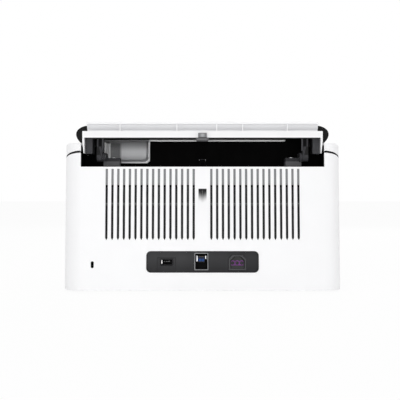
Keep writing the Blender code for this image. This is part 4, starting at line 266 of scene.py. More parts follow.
def rubber(name, colour):
    """Rubber with a matt, lightly pitted and dusty face."""
    g = new_material(name)
    pits = g.noise(1500.0, 4.0, 0.7)
    dust = g.noise(160.0, 5.0, 0.6)
    tone = g.mix(g.remap(dust, 0.45, 0.8, 0.0, 0.55, True), colour, scaled(colour, 1.9, 0.012))
    return g.finish(tone, g.remap(pits, 0.3, 0.7, 0.72, 0.9), pits, 0.05, 0.5, specular=0.3)


def steel(name, colour=(0.62, 0.63, 0.64, 1.0), lines=(1.0, 1.0, 14.0), roughness=0.3):
    """Plated sheet steel with rolling lines and faint spangle."""
    g = new_material(name)
    brushed = g.noise(260.0, 5.0, 0.7, lines)
    spangle = g.noise(120.0, 2.0, 0.4)
    tone = g.mix(g.remap(spangle, 0.35, 0.65), scaled(colour, 0.78), colour)
    gloss = g.remap(brushed, 0.3, 0.7, roughness - 0.06, roughness + 0.12)
    return g.finish(tone, gloss, brushed, 0.008, 0.7, metallic=1.0)


def shaft_material(name, axis, shaft_radius, skin, skin_roughness, steps):
    """A roller: bright steel up to the shaft's radius about its axis, and its skin beyond."""
    g = new_material(name)
    x, y, z = g.parts()
    radius = g.radius(g.minus(y, axis[0]), g.minus(z, axis[1]))
    outer = g.rise(radius, shaft_radius + 0.1, shaft_radius + 0.2)
    pits = g.noise(1500.0, 4.0, 0.7)
    rings = g.noise(300.0, 3.0, 0.6, (20.0, 1.0, 1.0))
    dust = g.noise(150.0, 5.0, 0.6)
    cover = g.mix(g.remap(dust, 0.45, 0.8, 0.0, 0.5, True), skin, scaled(skin, 1.6, 0.01))
    bright = g.mix(rings, (0.13, 0.13, 0.135, 1.0), (0.24, 0.24, 0.245, 1.0))
    tone = g.mix(outer, bright, cover)
    gloss = g.plus(0.22, g.times(outer, skin_roughness - 0.22))
    height = pits
    if steps:
        wave = g.sum_of("SINE", g.times(x, 2 * math.pi / (steps * mm)))
        height = g.plus(pits, g.times(wave, outer))
    return g.finish(tone, gloss, height, 0.04, 0.5, metallic=g.minus(1.0, outer))


def board_material(name):
    """A green circuit board with tracks under its mask and plated pads."""
    g = new_material(name)
    cells = g.add("ShaderNodeTexVoronoi", {"distance": "MANHATTAN", "feature": "F1"},
                  Vector=g.place((1.0, 1.6, 1.0)), Scale=240.0)
    pads = g.add("ShaderNodeTexVoronoi", {"feature": "F1"}, Vector=g.place(), Scale=420.0)
    edges = g.remap(cells.outputs["Distance"], 0.42, 0.46)
    dots = g.remap(pads.outputs["Distance"], 0.16, 0.2, 1.0, 0.0)
    tone = g.mix(edges, rgb(18, 74, 44), rgb(34, 104, 62))
    tone = g.mix(dots, tone, rgb(176, 168, 140))
    return g.finish(tone, g.remap(g.noise(300.0), 0.3, 0.7, 0.28, 0.42), edges, 0.02, 0.5)


def glass_material(name):
    """Scan glass over a dark bar: deep grey with a clear gloss and faint dust."""
    g = new_material(name)
    dust = g.remap(g.noise(700.0, 4.0, 0.7), 0.6, 0.8, 0.0, 0.25)
    tone = g.mix(dust, rgb(24, 28, 32), rgb(92, 98, 102))
    return g.finish(tone, g.remap(g.noise(60.0), 0.3, 0.7, 0.04, 0.09), Coat_Weight=1.0,
                    Coat_Roughness=0.02)


def shell_material(name, side, cover):
    """White moulding whose parting faces, and on the cover also its slits, are in shade."""
    g = new_material(name)
    tone, smear, speck = g.plastic(WHITE, 2600.0, 0.012)
    x, _, z = g.parts()
    out = g.away(x)
    parting = g.times(g.remap(g.times(g.upward(), side), 0.45, 0.7), g.rise(out, 136.4, 136.8),
                      g.rise(z, 40, 46), g.fall(z, 157.2, 157.6))
    tone = g.mix(parting, tone, rgb(10, 10, 11))
    if cover:
        depth = g.depth_behind(SKIN_Y)
        inside = g.rise(depth, 0.25, 0.5)
        slits = g.times(inside, g.times(g.within(out, 8.0, 110), g.within(z, 54, 138)))
        # Painted shade in the slits: dark low down and darker towards their outer ends, with a
        # paler band across them, and mid grey in their upper parts.
        low_slit_shade = g.mix(g.rise(out, 90, 108, True), rgb(44, 44, 45), rgb(14, 14, 15))
        low_slit_shade = g.mix(g.within(z, 97.4, 99.8, 0.8), low_slit_shade, rgb(104, 104, 106))
        slit_shade = g.mix(g.rise(z, 117.6, 119.4, True), low_slit_shade, rgb(128, 129, 131))
        # Painted shade: the lock slot's inside is near black.
        lock = g.times(g.within(x, 119, 125), g.within(z, 25, 36), inside)
        # The centre notch: painted shade in a V that deepens upwards, and a black line of painted
        # shade under its top
        middle = g.within(out, 0.0, 4.9)
        slope = g.minus(1.0, g.sum_of("DIVIDE", out, 4.6 * mm))
        veed = g.plus(g.rise(z, 98.5, 114), g.times(slope, 0.22))
        notch_shade = g.times(middle, g.within(z, 98, 115.6), g.rise(depth, 0.05, 0.3),
                        g.remap(veed, 0.12, 0.95, smooth=True))
        top = g.times(middle, g.within(z, 112.2, 116), g.rise(depth, 0.3, 0.6))
        tone = g.coats(tone, (slits, slit_shade), (lock, rgb(5, 5, 6)), (notch_shade, rgb(34, 34, 36)),
                       (top, rgb(6, 6, 7)))
    return g.finish(tone, g.gloss(smear, 0.37, 0.49), g.grained(speck, smear), 0.01)


def trim_material(name):
    """The bay's light trim, painted with light and shade: a strip above painted near white as
    painted light, with a painted shadow under the tab, and a grey tub in painted shade, darker to
    its left, towards its top and, on its right, towards its bottom, with a painted highlight on
    its left wall, a paler front face, and painted shade on its top rim and beside it below the
    strip.
    """
    g = new_material(name)
    tone, smear, speck = g.plastic(rgb(196, 197, 199), 2200.0, 0.04)
    x, y, z = g.parts()
    # The strip is painted near white as painted light, and under the tab it carries a painted
    # shadow.
    strip = g.times(g.within(z, 169.4, 172.6), g.fall(x, 60.4, 61.2))
    # Painted shade in the tub: darker towards its top, towards the bottom on its right, and darker
    # to its left.
    body = g.fall(z, 158, 168, True)
    right = g.mix(body, rgb(122, 123, 125), rgb(220, 221, 223))
    right = g.mix(g.fall(z, 149, 156, True, 0.6), right, rgb(128, 129, 131))
    left = g.mix(body, rgb(34, 34, 36), rgb(98, 99, 101))
    tub = g.mix(g.fall(x, 94.5, 97.5), left, right)
    # A painted highlight on the left wall, and painted shade on the top rim and beside the tub
    # below the strip.
    wall = g.times(g.within(x, 108.2, 113.2, 0.5), g.within(z, 149, 168.5, 1.2))
    top = g.times(g.rise(z, 168.4, 169.2), g.rise(x, 61.6, 62.4))
    outer = g.times(g.fall(x, 60.8, 61.2), g.fall(z, 168.6, 169.2))
    tone = g.coats(tub, (g.remap(speck, 0.35, 0.75, 0.0, 0.12), tone),
                   (wall, rgb(250, 250, 251)), (g.rise(y, 49.0, 49.6), rgb(226, 227, 228)),
                   (top, rgb(112, 112, 114)), (outer, rgb(20, 20, 21)),
                   (strip, rgb(254, 254, 254)),
                   (g.times(g.within(x, -6.7, 6.7), strip), rgb(92, 92, 94)))
    return g.finish(tone, g.gloss(smear, 0.36, 0.5), speck, 0.012)


def tab_material(name):
    """The centre tab: mid grey above with a pale middle, a dark line, and a darker foot."""
    g = new_material(name)
    tone, smear, speck = g.plastic(rgb(108, 109, 111), 2200.0, 0.06)
    x, _, z = g.parts()
    middle = g.times(g.fall(g.away(x), 0.5, 3.2), g.within(z, 172.5, 176, 0.8))
    tone = g.mix(middle, tone, rgb(158, 159, 161))
    lower = g.mix(g.fall(z, 170.6, 170.9), rgb(26, 26, 28), rgb(88, 88, 90))
    tone = g.mix(g.rise(z, 171.9, 172.3), lower, tone)
    return g.finish(tone, g.gloss(smear, 0.4, 0.55), speck, 0.012)


def tub_material(name):
    """The paper tub: grained dark deck in front, and a matt black bay behind its wall, made darker
    than black plastic as painted shade.
    """
    g = new_material(name)
    # Black plastic made darker still, as painted shade in the bay behind the wall.
    tone, smear, speck = g.plastic(rgb(3, 3, 3), 1700.0, 0.3)
    deck = g.fall(g.parts()[1], 45.0, 46.0)
    dust = g.remap(g.noise(160.0, 5.0, 0.6), 0.35, 0.75, smooth=True)
    tone = g.mix(deck, tone, g.mix(dust, rgb(20, 20, 22), rgb(31, 31, 33)))
    gloss = g.minus(g.gloss(smear, 0.7, 0.82), g.times(deck, 0.24))
    return g.finish(tone, gloss, speck, 0.03, specular=0.05)


def bracket_material(name):
    """Deep grey hinge bracket whose lower front, below the deck's edge, is painted paler as
    painted light.
    """
    g = new_material(name)
    tone, smear, speck = g.plastic(DEEP, 1900.0, 0.14)
    # Painted light: the lower front, below the deck's edge, is paler.
    tone = g.mix(g.fall(g.parts()[2], 145.3, 145.9, True, 0.85), tone, rgb(92, 92, 94))
    return g.finish(tone, g.gloss(smear, 0.48, 0.62), speck, 0.02, specular=0.14)


def frame_material(name):
    """White moulding of the tray's rear frame, in shade along its lower lip and underneath."""
    g = new_material(name)
    tone, smear, speck = g.plastic(rgb(238, 238, 239), 2600.0, 0.012)
    x, _, z = g.parts()
    down = g.remap(g.upward(), -0.8, -0.6, 1.0, 0.0)
    lip = g.times(g.within(z, 170.8, 171.7, 0.1), g.fall(g.away(x), 131.8, 132.2))
    tone = g.mix(g.sum_of("MAXIMUM", down, lip), tone, rgb(52, 52, 54))
    return g.finish(tone, g.gloss(smear, 0.37, 0.49), g.grained(speck, smear), 0.01)


def tongue_material(name):
    """The data socket's tongue: navy as painted shade of the socket, clearer blue low at its end,
    and black painted shade at its foot.
    """
    g = new_material(name)
    x, _, z = g.parts()
    stain = g.noise(500.0, 4.0, 0.6)
    lobes = g.within(g.away(x, DATA_X * mm), 0.5, 2.6, 0.4)
    clear = g.times(g.within(z, 33.9, 36.4, 0.5), g.plus(0.45, g.times(lobes, 0.55)))
    # Painted shade: navy over the tongue except its clearer blue band, and black at its foot.
    navy_shade = g.mix(stain, rgb(0, 12, 34), rgb(2, 24, 58))
    tone = g.coats(navy_shade, (clear, rgb(0, 58, 122)), (g.fall(z, 33.4, 34.0), rgb(4, 4, 5)))
    return g.finish(tone, g.remap(stain, 0.3, 0.7, 0.34, 0.5), stain, 0.01, 0.5, specular=0.2)


def arm_material(name):
    """Dark grey arms: a near black window above as painted shade, a groove beside the link, and
    patchy paler lower ends.
    """
    g = new_material(name)
    tone, smear, speck = g.plastic(DEEP, 1900.0, 0.14)
    x, _, z = g.parts()
    out = g.away(x)
    # Painted shade: the window above is near black.
    window_shade = g.times(g.within(out, 112.7, 116.6, 0.2), g.within(z, 161.8, 172.5, 0.4))
    link = g.plus(g.times(z, 0.25), 74.3 * mm)
    groove = g.times(g.rise(g.away(out, link), 1.2, 1.6), g.within(out, 112.0, 118.6, 0.1),
                     g.within(z, 152, 161.8, 0.4))
    paler_patches = g.remap(g.noise(420.0, 4.0, 0.7), 0.5, 0.66, 0.0, 0.5, True)
    tone = g.coats(tone, (g.rise(out, 118.7, 119.3), rgb(63, 63, 66)), (groove, rgb(10, 10, 11)),
                   (window_shade, rgb(4, 4, 5)), (g.times(paler_patches, g.fall(z, 147, 156)), rgb(84, 84, 88)))
    gloss = g.plus(g.gloss(smear, 0.42, 0.56), g.times(window_shade, 0.4))
    return g.finish(tone, gloss, g.minus(speck, g.times(groove, 4.0)), 0.04, specular=0.14)


def panel_material(name):
    """The port panel: dark moulding, with a fine groove round a plate by the small socket, and
    painted shade towards the power side, towards the bottom and round the data and power sockets.
    """
    g = new_material(name)
    tone, smear, speck = g.plastic(rgb(56, 56, 58), 1900.0, 0.1)
    x, _, z = g.parts()
    outer = g.times(g.within(x, 29.4, 50.4, 0.12), g.within(z, 22.4, 38.2, 0.12))
    inner = g.times(g.within(x, 30.0, 49.8, 0.12), g.within(z, 21.0, 37.6, 0.12))
    groove = g.sum_of("SUBTRACT", outer, inner, clamp=True)
    # The last two coats are painted shade: darker towards the power side and towards the bottom.
    tone = g.coats(tone, (g.times(inner, 0.25), rgb(40, 40, 42)),
                   (g.times(groove, 0.6), rgb(26, 26, 28)),
                   (g.fall(x, -64, 20, True, 0.6), rgb(30, 30, 32)),
                   (g.fall(z, 22, 38, True, 0.75), rgb(30, 30, 32)))
    # Painted shade round the data and power sockets.
    for centre, half in ((DATA_X, 7.2), (POWER_X, 9.6)):
        near = g.within(x, centre - half - 1.0, centre + half + 1.0, 1.2)
        tone = g.mix(g.times(near, 0.3), tone, rgb(40, 40, 42))
    height = g.minus(speck, g.times(groove, 6.0))
    return g.finish(tone, g.gloss(smear, 0.44, 0.58), height, 0.03, specular=0.15)


def socket_material(name, centre_x, centre_z, width, height, rim, sides):
    """A drawn metal socket: a bright rim, painted highlights on its upper sides, and an inside
    painted dark as shade, with mottling.
    """
    g = new_material(name)
    x, _, z = g.parts()
    depth = g.depth_behind(PANEL_Y)
    deep = g.rise(depth, 0.25, 0.9)
    brushed = g.noise(240.0, 4.0, 0.7, (14.0, 1.0, 1.0))
    stain = g.noise(300.0, 4.0, 0.6)
    bright = g.mix(brushed, rgb(*[value - 12 for value in rim]),
                   rgb(*[value + 10 for value in rim]))
    wall = g.rise(g.away(x, centre_x * mm), width / 2 - 1.2, width / 2 - 1.0)
    high = g.within(z, centre_z + 1.0, centre_z + height / 2 - 1.2, 0.8)
    # Painted highlights on the upper side walls, scaled by sides, over painted shade inside.
    lit = g.times(wall, high, g.fall(depth, 5, 9))
    inside = g.mix(g.times(lit, sides), g.mix(stain, rgb(3, 3, 4), rgb(9, 9, 10)),
                   rgb(196, 198, 202))
    return g.finish(g.mix(deep, bright, inside), g.remap(brushed, 0.3, 0.7, 0.34, 0.5), brushed,
                    0.01, metallic=g.times(g.minus(1.0, deep), 0.35), specular=0.04)


def insert_material(name, centre_x, centre_z):
    """The power inlet's insert: a purple crown with dark pin holes, black round it."""
    g = new_material(name)
    pitch = 5.0 * mm
    x, _, z = g.parts()
    stain = g.noise(500.0, 4.0, 0.6)
    along = g.minus(x, centre_x * mm)
    up = g.minus(z, centre_z * mm)
    teeth = g.sum_of("COSINE", g.times(along, 2 * math.pi / pitch))
    crown = g.times(g.fall(g.plus(up, g.times(teeth, -0.55 * mm)), 2.5, 2.9),
                    g.rise(up, -2.9, -2.5), g.within(along, -7.0, 7.0, 0.3))
    for index in (-1, 0, 1):
        hole = g.radius(g.minus(along, index * pitch), up)
        crown = g.times(crown, g.rise(hole, 1.75, 2.0))
    around = g.mix(stain, rgb(4, 4, 5), rgb(14, 14, 16))
    around = g.mix(g.times(g.fall(up, -5.6, -3.6), 0.6), around, rgb(48, 48, 50))
    tone = g.mix(crown, around, g.mix(stain, rgb(92, 30, 104), rgb(128, 50, 144)))
    return g.finish(tone, g.remap(stain, 0.3, 0.7, 0.34, 0.48), g.plus(stain, crown), 0.03, 0.5,
                    specular=0.3)


def inlet_material(name):
    """The power inlet's black housing with a thin paler rim at its face."""
    g = new_material(name)
    tone, smear, speck = g.plastic(rgb(8, 8, 9), 1700.0, 0.3)
    tone = g.mix(g.fall(g.depth_behind(PANEL_Y), 0.15, 0.45), tone, rgb(74, 74, 76))
    return g.finish(tone, g.gloss(smear, 0.5, 0.62), speck, 0.02, specular=0.2)


WHITE = rgb(243, 243, 244)
LIGHT = rgb(205, 206, 208)
DARK = rgb(58, 58, 61)
DEEP = rgb(47, 47, 50)
BLACK = rgb(6, 6, 7)
NATURAL = rgb(226, 222, 208)
RUBBER = rgb(34, 34, 36)

# Mouldings: colour, roughness, the grain's scale and its depth in millimetres, how much the tone
# drifts, specular level, and how much an edge is worn and to which colour
white = moulded("white_moulding", WHITE, 0.42, 2600.0, 0.01, 0.012)
white_edge = moulded("white_moulding_edge", WHITE, 0.34, 2600.0, 0.006, 0.008, 0.5, 0.5,
                     rgb(247, 247, 248))
light = moulded("light_grey_moulding", LIGHT, 0.42, 2200.0, 0.012, 0.04)
dark = moulded("dark_grey_moulding", DARK, 0.48, 1900.0, 0.02, 0.14, 0.35)
dark_edge = moulded("dark_grey_moulding_edge", DARK, 0.38, 1900.0, 0.01, 0.1, 0.35, 0.6,
                    rgb(92, 92, 96))
black = moulded("black_moulding", BLACK, 0.62, 1700.0, 0.02, 0.35, 0.08)
black_edge = moulded("black_moulding_edge", BLACK, 0.5, 1700.0, 0.01, 0.2, 0.12, 0.4,
                     rgb(24, 24, 26))
matt = moulded("matt_black_moulding", rgb(3, 3, 3), 0.75, 1700.0, 0.03, 0.3, 0.02)
matt_edge = moulded("matt_black_edge", rgb(4, 4, 5), 0.65, 1700.0, 0.01, 0.2, 0.05, 0.4,
                    rgb(14, 14, 15))
deep_grey = moulded("deep_grey_moulding", DEEP, 0.54, 1900.0, 0.02, 0.14, 0.14)
deep_edge = moulded("deep_grey_moulding_edge", DEEP, 0.4, 1900.0, 0.01, 0.1, 0.3, 0.6,
                    rgb(78, 78, 82))
flange = moulded("flange_moulding", rgb(66, 66, 69), 0.5, 1900.0, 0.02, 0.1, 0.14)
satin = moulded("satin_black_moulding", rgb(11, 11, 12), 0.5, 1700.0, 0.015, 0.25, 0.12)
satin_edge = moulded("satin_black_edge", rgb(12, 12, 13), 0.42, 1700.0, 0.01, 0.2, 0.16, 0.5,
                     rgb(34, 34, 36))
natural = moulded("natural_moulding", NATURAL, 0.38, 1800.0, 0.01, 0.05)
plate = steel("plated_sheet")
plate_edge = steel("plated_sheet_edge", (0.74, 0.75, 0.76, 1.0), roughness=0.24)
can = steel("motor_can", (0.5, 0.5, 0.51, 1.0), (1.0, 1.0, 1.0), 0.34)


# Modifiers for the CAD nodes


def smooth_by_angle():
    """A node group that shades faces smooth across edges below an angle."""
    group = bpy.data.node_groups.new("smooth_by_angle", "GeometryNodeTree")
    for direction in ("INPUT", "OUTPUT"):
        group.interface.new_socket("Geometry", in_out=direction,
                                   socket_type="NodeSocketGeometry")
    entry = group.nodes.new("NodeGroupInput")
    leave = group.nodes.new("NodeGroupOutput")
    angle = group.nodes.new("GeometryNodeInputMeshEdgeAngle")
    test = group.nodes.new("FunctionNodeCompare")
    test.data_type = "FLOAT"
    test.operation = "GREATER_THAN"
    test.inputs[1].default_value = SHARP_ABOVE
    shade = group.nodes.new("GeometryNodeSetMeshNormal")
    shade.mode = "SHARPNESS"
    group.links.new(angle.outputs["Unsigned Angle"], test.inputs[0])
    group.links.new(entry.outputs[0], shade.inputs["Mesh"])
    group.links.new(test.outputs[0], shade.inputs["Edge Sharpness"])
    group.links.new(shade.outputs[0], leave.inputs[0])
    return group


SMOOTHING = smooth_by_angle()


def soften(piece, width):
    """Shading by angle, and softened edges of a width in millimetres."""
    piece.modifiers.new("shading", "NODES").node_group = SMOOTHING
    if not width:
        return
    soft = piece.modifiers.new("soft_edges", "BEVEL")
    soft.limit_method = "ANGLE"
    soft.angle_limit = SOFTEN_ABOVE
    soft.width = width * mm
    soft.segments = 2
    soft.use_clamp_overlap = True
    soft.harden_normals = True
    if len(piece.data.materials) > 1:
        soft.material = 1


def dress(names, material, edge=None, width=0.35):
    """A material on CAD nodes, with softened edges that show a little wear."""
    for name in names.split():
        piece = nodes[name]
        piece.data.materials.clear()
        piece.data.materials.append(material)
        if edge is not None:
            piece.data.materials.append(edge)
        piece.modifiers.new("weld", "WELD").merge_threshold = WELD_WITHIN
        flat = piece.modifiers.new("flat_faces", "DECIMATE")
        flat.decimate_type = "DISSOLVE"
        flat.angle_limit = FLAT_WITHIN
        soften(piece, width)


dress("rear_cover", shell_material("cover_moulding", 1.0, True))
dress("hatch_shell", shell_material("hatch_moulding", -1.0, False))
dress("tray_lid", white, white_edge)
dress("tray_frame", frame_material("frame_moulding"))
dress("button_1 button_2 button_3 button_4", light)
dress("bay_trim", trim_material("bay_trim_light_and_shade"), None, 0.2)
dress("tray_tab", tab_material("tab_moulding"), None, 0.25)
dress("port_panel", panel_material("port_panel_moulding"))
dress("power_inlet", inlet_material("inlet_moulding"), None, 0.2)
for _, end in SIDES:
    for name, material, edge in (("tray_arm_", arm_material, dark_edge),
                                 ("hinge_bracket_", bracket_material, deep_edge)):
        dress(name + end, material(name + end + "_moulding"), edge)
dress("paper_tub", tub_material("tub_moulding"), matt_edge)
dress("base_plate tray_extension width_guide_left width_guide_right control_bezel output_tray "
      "output_extension paper_stop", dark, dark_edge)
dress("lower_paper_guide upper_paper_guide lower_scan_bar upper_scan_bar", black, black_edge)
dress("tray_cheek_left tray_cheek_right tray_pan", satin, satin_edge)
dress("foot_front_left foot_front_right foot_rear_left foot_rear_right",
      rubber("foot_rubber_matt", RUBBER))
dress("motor_belt exit_belt", rubber("belt_rubber", rgb(26, 26, 28)))
dress("side_plate_left side_plate_right tray_hinge_pin_left tray_hinge_pin_right motor_rotor",
      plate, plate_edge, 0.2)
# Sockets: the centre's X and Z, width, height, rim colour, and the strength of the painted
# highlights on the upper sides.
dress("data_socket", socket_material("data_socket_shell", DATA_X, 34.4, 15.5, 19.3,
                                     (128, 129, 131), 0.9), None, 0.15)
dress("service_socket", socket_material("service_socket_shell", SERVICE_X, 33.2, 13.5, 7.2,
                                        (40, 40, 42), 0.0), None, 0.15)
dress("motor", can, plate_edge)
dress("main_board", board_material("board_laminate"), None, 0.1)
dress("lower_scan_glass upper_scan_glass", glass_material("scan_glass_clear"), None, 0.1)
dress("data_socket_tongue", tongue_material("tongue_moulding"), None, 0.15)
dress("power_inlet_insert", insert_material("inlet_insert", POWER_X, 31.6), None, 0.15)
dress("idler_gear guide_pinion", natural, None, 0.1)

# Rollers: shaft radius, the skin's colour and roughness, and the pitch of its ground lines
origins = {joint["name"]: joint.get("pos_m") for joint in frame["joints"]}
for name, shaft_radius, skin, skin_roughness, steps in (
        ("drive_roller", 3.0, RUBBER, 0.8, 2.0),
        ("pick_roller", 3.0, RUBBER, 0.8, 2.0),
        ("exit_roller", 3.0, RUBBER, 0.8, 2.0),
        ("separation_roller", 3.0, rgb(120, 118, 112), 0.75, 2.0),
        ("upper_pinch_roller", 2.0, NATURAL, 0.4, 0.0),
        ("exit_pinch_roller", 2.0, NATURAL, 0.4, 0.0)):
    finish = shaft_material(name + "_finish", origins[name + "_spin"][1:], shaft_radius, skin,
                            skin_roughness, steps)
    dress(name, finish, None, 0.15)


# Tools for the scene's own pieces. Lengths are in millimetres.


def cover_rings(shape, rings):
    """Faces over a stack of rings of corners, closed at both ends."""
    shape.faces.new(rings[0][::-1])
    shape.faces.new(rings[-1])
    count = len(rings[0])
    for lower, upper in zip(rings, rings[1:]):
        for index in range(count):
            following = (index + 1) % count
            shape.faces.new((lower[index], lower[following], upper[following], upper[index]))


def prism(shape, outline, low, high, axis):
    """A closed prism from a flat outline in the two other axes, in their order."""
    rings = []
    for level in (low, high):
        ring = []
        for pair in outline:
            place = list(pair)
            place.insert(axis, level)
            ring.append(shape.verts.new([value * mm for value in place]))
        rings.append(ring)
    cover_rings(shape, rings)


def block(shape, corner, opposite):
    """A plain block between two corners, as part of a larger piece."""
    low, high = zip(*[sorted(pair) for pair in zip(corner, opposite)])
    prism(shape, [low[:2], (high[0], low[1]), high[:2], (low[0], high[1])], low[2], high[2], 2)


def turn_towards(direction):
    """The turn that carries the Z axis to a direction."""
    return Vector(direction).to_track_quat("Z", "Y").to_matrix()


def turned(shape, profile, centre, direction, sides):
    """A turned body from radius and height pairs, with its height along a direction."""
    turn = turn_towards(direction)
    rings = []
    for radius, height in profile:
        ring = []
        for index in range(sides):
            angle = 2 * math.pi * index / sides
            local = Vector((radius * math.cos(angle), radius * math.sin(angle), height))
            ring.append(shape.verts.new((Vector(centre) + turn @ local) * mm))
        rings.append(ring)
    cover_rings(shape, rings)


def screw(shape, centre, direction, radius, height):
    """A pan head with a cross recess."""
    turn = turn_towards(direction)
    half = radius * 0.14
    reach = radius * 0.62
    cross = []
    for quarter in range(4):
        angle = quarter * math.pi / 2
        for x, y in ((reach, 0.0), (reach, half), ((reach + half) / 2, half), (half, half),
                     (half, (reach + half) / 2), (half, reach)):
            cross.append((x * math.cos(angle) - y * math.sin(angle),
                          x * math.sin(angle) + y * math.cos(angle)))
    count = len(cross)
    levels = []
    for share, level in ((1.0, 0.0), (1.0, height * 0.45), (0.93, height * 0.8), (0.8, height)):
        levels.append([(radius * share * math.cos(2 * math.pi * index / count),
                        radius * share * math.sin(2 * math.pi * index / count), level)
                       for index in range(count)])
    levels.append([(x, y, height) for x, y in cross])
    levels.append([(x * 0.9, y * 0.9, height - 0.5) for x, y in cross])
    cover_rings(shape, [[shape.verts.new((Vector(centre) + turn @ Vector(point)) * mm)
                         for point in level] for level in levels])


def make(name, shape, body, material, width=0.0, turn=None):
    """A finished piece of the scene's own that rides a body."""
    bmesh.ops.recalc_face_normals(shape, faces=shape.faces)
    if turn is not None:
        bmesh.ops.transform(shape, matrix=turn, verts=shape.verts)
    mesh = bpy.data.meshes.new(name)
    shape.to_mesh(mesh)
    shape.free()
    piece = bpy.data.objects.new(name, mesh)
    bpy.context.scene.collection.objects.link(piece)
    mesh.materials.append(material)
    soften(piece, width)
    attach(piece, body)


def lean_about(y, z, angle):
    """A turn about a line along X through the point at y and z."""
    shift = Matrix.Translation((0.0, y * mm, z * mm))
    return shift @ Matrix.Rotation(angle, 4, "X") @ shift.inverted()


def box_of(name):
    """A node's lowest and highest corner."""
    low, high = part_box(name)
    return Vector(low) / mm, Vector(high) / mm


REAR_TURN = lean_about(SKIN_Y, REAR_FOOT, REAR_LEAN)
gold = steel("gold_plating", (0.34, 0.24, 0.1, 1.0), (1.0, 6.0, 1.0), 0.32)
nickel = steel("nickel_plating", (0.6, 0.6, 0.6, 1.0), (1.0, 4.0, 1.0), 0.3)
screw_steel = steel("zinc_screws", (0.5, 0.5, 0.51, 1.0), (1.0, 1.0, 1.0), 0.34)
print_grey = moulded("printed_symbols", rgb(62, 63, 66), 0.55, 1800.0, 0.004, 0.08)
chip = moulded("moulded_chips", rgb(24, 24, 26), 0.5, 1500.0, 0.02, 0.2, 0.3)
sleeve = moulded("capacitor_sleeves", rgb(32, 34, 52), 0.34, 900.0, 0.01, 0.2)
dull_white = moulded("white_connectors", NATURAL, 0.45, 1500.0, 0.01, 0.06)
# A grey film for behind the ventilation slits, which stands in for the shade there.
shade_film = moulded("painted_shade_film", rgb(74, 74, 76), 0.6, 900.0, 0.006, 0.1, 0.1)
lens = moulded("light_pipe", rgb(214, 222, 226), 0.22, 900.0, 0.004, 0.05)
# A darker white for the rolled edge under the lid's eave, as painted shade.
shaded = moulded("rolled_edge_painted_shade", rgb(224, 224, 226), 0.42, 2600.0, 0.01, 0.012)


# Contacts and springs of the ports, on the base


def contacts(name, centre, pitch, half, low, high, metal):
    """A row of four contact strips. Low and high are their ends' Y and Z."""
    shape = bmesh.new()
    for index in range(4):
        x = centre + (index - 1.5) * pitch
        block(shape, (x - half,) + low, (x + half,) + high)
    make(name, shape, "base", metal, turn=REAR_TURN)


contacts("data_socket_contacts", DATA_X, 1.35, 0.4, (86.5, 39.45), (92.0, 39.6), gold)

shape = bmesh.new()
for side in (-1, 1):
    near = DATA_X + side * 4.2
    far = DATA_X + side * 5.3
    ridge = [(near, 94.2), (far, 94.2), (far + side * 0.5, 90.0), (far + side * 1.2, 86.0),
             (far + side * 0.9, 86.0), (far + side * 0.2, 90.0), (far - side * 0.2, 93.8),
             (near, 93.8)]
    prism(shape, ridge, 34.2 if side > 0 else 36.8, 40.2, 2)
make("data_socket_springs", shape, "base", screw_steel, turn=REAR_TURN)

contacts("service_socket_contacts", SERVICE_X, 2.0, 0.45, (83.5, 34.1), (87.0, 34.28), can)

shape = bmesh.new()
block(shape, (44.9, 88.0, 31.4), (45.6, 95.4, 35.4))
make("service_socket_spring", shape, "base", nickel, turn=REAR_TURN)


# Dark blocks behind the port panel, which close the clearance round the three ports and stand in
# for the shade there, as painted shade

shape = bmesh.new()
for x, z, wide, tall in ((DATA_X, 33.9, 15.5, 19.3), (SERVICE_X, 33.2, 13.5, 7.2),
                         (POWER_X, 32.6, 19.0, 16.5)):
    near = (wide / 2 + 0.05, tall / 2 + 0.05)
    far = (wide / 2 + 1.6, tall / 2 + 1.4)
    for side in (-1, 1):
        block(shape, (x + side * near[0], 90.6, z - far[1]), (x + side * far[0], 92.4, z + far[1]))
        block(shape, (x - near[0], 90.6, z + side * near[1]),
              (x + near[0], 92.4, z + side * far[1]))
make("port_gap_shade", shape, "base", matt, turn=REAR_TURN)


# Painted shade: a grey film behind the ventilation slits, and a black one behind the lock slot,
# which stand in for the shade inside

for name, low, high, material in (
        ("vent_film", (-109.5, 90.1, 55.5), (109.5, 90.5, 117.5), shade_film),
        ("lock_film", (117.0, 94.6, 23.0), (126.9, 95.0, 38.0), matt)):
    shape = bmesh.new()
    block(shape, low, high)
    make(name, shape, "base", material, turn=REAR_TURN)


# Small screws

under = box_of("base_plate")[0][2]
shape = bmesh.new()
for x in (-132.0, -48.0, 48.0, 132.0):
    for y in (-44.0, 52.0):
        turned(shape, [(4.4, 0.0), (4.4, 0.25), (3.2, 0.25), (3.2, 0.0)], (x, y, under),
               (0, 0, -1), 28)
        screw(shape, (x, y, under), (0, 0, -1), 2.6, 0.9)
make("base_screws", shape, "base", screw_steel)

for side, end in SIDES:
    shape = bmesh.new()
    for y, z in ((-52.0, 12.0), (20.0, 50.0), (76.0, 15.0)):
        screw(shape, (side * 128.0, y, z), (side, 0, 0), 2.6, 1.1)
    make("side_plate_screws_" + end, shape, "base", screw_steel)

shape = bmesh.new()
for side in (-1, 1):
    screw(shape, (side * 101.5, 67.0, 149.5), (0, 0, 1), 3.0, 1.3)
make("bracket_screws", shape, "hatch", screw_steel)


# Parts on the main board, on the base. Chips: centre, width, depth and height.

